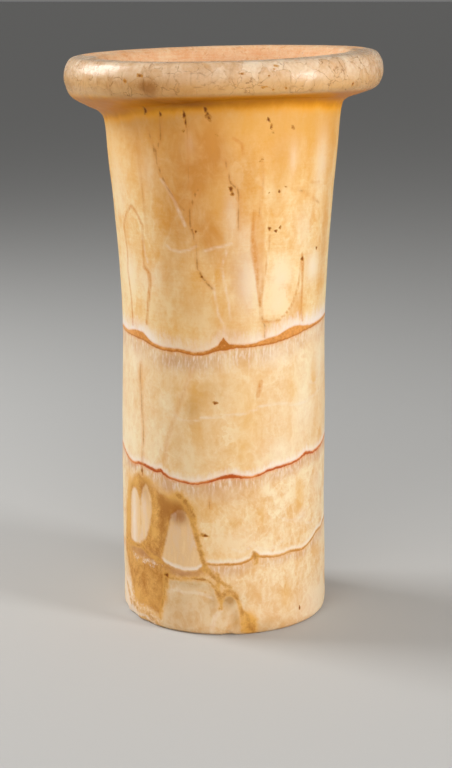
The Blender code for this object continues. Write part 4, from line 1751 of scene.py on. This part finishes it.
@dataclass(frozen=True)
class Jar:
    """The whole jar.

    Attributes:
        form: Its turned and carved form.
        wear: What happened to its surface.
        finish: Its stone.
        GROOVE: The heights where the painted amber glow and shade under the rim start, are full, start to
            fade and are gone.
        RIM_SKIN: Those between which the rim's polished skin starts.
        MOUTH: Those between which the mouth's rough edge starts.
    """

    form: JarForm
    wear: Wear
    finish: BandedAlabaster
    GROOVE: ClassVar[tuple[float, ...]] = (189.0, 197.0, 200.0, 205.0)
    RIM_SKIN: ClassVar[tuple[float, ...]] = (199.0, 204.0)
    MOUTH: ClassVar[tuple[float, ...]] = (208.0, 211.0)

    def skin_masks(self, places: Places) -> dict[Mark, np.ndarray]:
        """Finds the painted amber glow and shade under the rim, the rim's polished skin and the rough
        bore.

        Args:
            places: The points.

        Returns:
            A mask for each of the three.
        """
        up, out = places.section_height, places.section_radius
        outside = places.outside
        # The painted amber glow and shade and the skin start lower on the right, where the rim's underside
        # is higher
        to_right = 0.5 + 0.5 * np.sin(np.radians(places.around))
        starts, full, fades, gone = self.GROOVE
        groove = smooth_step(starts - to_right, full - to_right, up)
        groove = groove * (1.0 - smooth_step(fades, gone, up)) * outside
        low, high = self.RIM_SKIN
        rim = smooth_step(low - 1.6 * to_right, high - 0.8 * to_right, up) * outside
        from_back = smooth_step(86.0, 104.0, np.abs(places.around))
        top_edge = self.form.mouth_radius + 1.2 + 8.0 * from_back
        on_top = (1.0 - smooth_step(-0.8, 0.8, out - top_edge)) * smooth_step(*self.MOUTH, up)
        bore = np.maximum(1.0 - outside, on_top)
        return {Mark.GROOVE: groove, Mark.RIM: rim, Mark.BORE: bore}

    def mark(self, mesh: bpy.types.Mesh, places: Places) -> None:
        """Writes every mark and layer to the mesh as attributes.

        Args:
            mesh: The jar's mesh.
            places: Where its points are.
        """
        count = len(places.around)
        values = {mark: np.zeros(count) for mark in Mark}
        values.update({mark: np.full(count, Crack.NOWHERE) for mark in Markings.CRACKS})
        values.update({mark: np.full(count, -Patch.FURTHEST) for mark in Markings.PATCHES})
        laid = [(mark, Patch(outline)) for mark, rows in Markings.PATCHES.items() for outline in rows]
        laid += [(mark, Crack(*row)) for mark, rows in Markings.CRACKS.items() for row in rows]
        laid += [(mark, Stain(*row)) for mark, rows in Markings.STAINS.items() for row in rows]
        for mark, feature in laid:
            values[mark] = feature.lay(places, values[mark])
        for pit in self.wear.pits:
            values[Mark.PIT] = pit.lay(places, values[Mark.PIT])
        values.update(self.skin_masks(places))
        named = {mark.value: value for mark, value in values.items()}
        for course in Layers.ALL:
            named.update(course.attributes(places))
        for name, value in named.items():
            layer = mesh.attributes.new(name, "FLOAT", "POINT")
            layer.data.foreach_set("value", value.astype(np.float32))

    def build(self) -> bpy.types.Object:
        """Turns, carves and wears the jar, and dresses it.

        Returns:
            The finished jar.
        """
        solid = self.form.turned()
        self.form.refine(solid, self.wear.spots(self.form))
        places = self.form.carve(solid)
        solid.normal_update()
        points = np.array([vert.co[:] for vert in solid.verts])
        for vert, depth in zip(solid.verts, self.wear.depth(places, points)):
            vert.co -= vert.normal * float(depth)
        bmesh.ops.scale(solid, vec=(TO_METRES, TO_METRES, TO_METRES), verts=solid.verts[:])
        mesh = bpy.data.meshes.new("stone_jar")
        solid.to_mesh(mesh)
        solid.free()
        self.mark(mesh, places)
        mesh.shade_smooth()
        mesh.materials.append(self.finish.material())
        jar = bpy.data.objects.new("stone_jar", mesh)
        bpy.context.scene.collection.objects.link(jar)
        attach(jar, "root")
        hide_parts("alabastron")
        return jar


@dataclass(frozen=True)
class Softbox:
    """A large soft light.

    Attributes:
        name: Its name.
        around: Its angle round the jar.
        above: Its angle above the jar's middle.
        away: How far it is, in metres.
        size: Its width and height in metres.
        power: Its power in watts.
        colour: Its colour.
        AIMED_AT: The height that every light faces, in metres.
    """

    name: str
    around: float
    above: float
    away: float
    size: tuple[float, float]
    power: float
    colour: str = "#FFFFFF"
    AIMED_AT: ClassVar[float] = 0.12

    def build(self) -> bpy.types.Object:
        """Hangs the light so that it faces the jar's middle.

        Returns:
            The light.
        """
        lamp = bpy.data.lights.new(self.name, "AREA")
        lamp.shape = "RECTANGLE"
        lamp.size, lamp.size_y = self.size
        lamp.energy = self.power
        lamp.color = linear(self.colour)[:3]
        turn, lift = math.radians(self.around), math.radians(self.above)
        level = math.cos(lift)
        back = Vector((math.sin(turn) * level, -math.cos(turn) * level, math.sin(lift)))
        light = bpy.data.objects.new(self.name, lamp)
        light.location = Vector((0.0, 0.0, self.AIMED_AT)) + back * self.away
        light.rotation_euler = back.to_track_quat("Z", "Y").to_euler()
        bpy.context.scene.collection.objects.link(light)
        return light


@dataclass(frozen=True)
class Studio:
    """A pale floor, soft light and the camera.

    Attributes:
        floor_colour: The floor's paint.
        floor_radius: How far the floor reaches, in metres.
        air_colour: The light from all sides.
        air_strength: How strong it is.
        softboxes: The lights.
        camera_place: Where the camera stands, in metres.
        camera_down: How far it looks down, in degrees.
        focal_length: Its lens, in millimetres.
        farthest: How far it sees, in metres.
    """

    floor_colour: str = "#C6C5C2"
    floor_radius: float = 600.0
    air_colour: str = "#FFFFFF"
    air_strength: float = 0.18
    softboxes: tuple[Softbox, ...] = (
        Softbox("front_softbox", -10.0, 27.0, 1.4, (1.4, 1.3), 8.8),
        Softbox("left_softbox", -107.0, 33.0, 0.95, (0.42, 0.50), 6.6),
        Softbox("right_softbox", 59.0, 16.0, 0.95, (0.22, 0.34), 4.9),
    )
    camera_place: tuple[float, float, float] = (0.00094, -0.64158, 0.23277)
    camera_down: float = 12.7
    focal_length: float = 79.69
    farthest: float = 1000.0

    def floor(self) -> bpy.types.Object:
        """Lays the floor as a wide disc of matt paint.

        Returns:
            The floor.
        """
        disc = bmesh.new()
        bmesh.ops.create_circle(disc, cap_ends=True, radius=self.floor_radius, segments=96)
        mesh = bpy.data.meshes.new("studio_floor")
        disc.to_mesh(mesh)
        disc.free()
        paint = bpy.data.materials.new("matt_floor_paint")
        paint.use_nodes = True
        tree = paint.node_tree
        tree.nodes.clear()
        shader = add_node(tree, "BsdfPrincipled", {"Base Color": self.floor_colour, "Roughness": 0.85})
        add_node(tree, "OutputMaterial", {"Surface": shader})
        mesh.materials.append(paint)
        floor = bpy.data.objects.new("studio_floor", mesh)
        bpy.context.scene.collection.objects.link(floor)
        return floor

    def air(self) -> None:
        """Fills the studio with soft light from all sides."""
        world = bpy.data.worlds.new("studio_air")
        world.use_nodes = True
        tree = world.node_tree
        tree.nodes.clear()
        glow = add_node(tree, "Background", {"Color": self.air_colour, "Strength": self.air_strength})
        add_node(tree, "OutputWorld", {"Surface": glow})
        bpy.context.scene.world = world

    def camera(self) -> bpy.types.Object:
        """Sets the camera at the photograph's viewing angle.

        Returns:
            The camera.
        """
        data = bpy.data.cameras.new("studio_camera")
        data.lens = self.focal_length
        data.sensor_width = 36.0
        data.clip_start = 0.01
        data.clip_end = self.farthest
        camera = bpy.data.objects.new("studio_camera", data)
        camera.location = self.camera_place
        camera.rotation_euler = (math.radians(90.0 - self.camera_down), 0.0, 0.0)
        bpy.context.scene.collection.objects.link(camera)
        bpy.context.scene.camera = camera
        return camera

    def build(self) -> None:
        """Sets up the floor, the light and the camera."""
        self.floor()
        self.air()
        for softbox in self.softboxes:
            softbox.build()
        self.camera()
        bpy.context.scene.view_settings.view_transform = "Standard"


def main() -> None:
    """Builds the jar and the studio round it."""
    logging.basicConfig(level=logging.INFO, format="%(message)s")
    pits = tuple(Pit(*row) for row in Markings.PITS)
    jar = Jar(JarForm(), Wear(pits, Markings.CHIPS), BandedAlabaster()).build()
    jar.data.calc_loop_triangles()
    LOG.info("%s: %d triangles", jar.name, len(jar.data.loop_triangles))
    Studio().build()
    LOG.info("studio: floor, air, softboxes and camera")


if __name__ == "__main__":
    main()
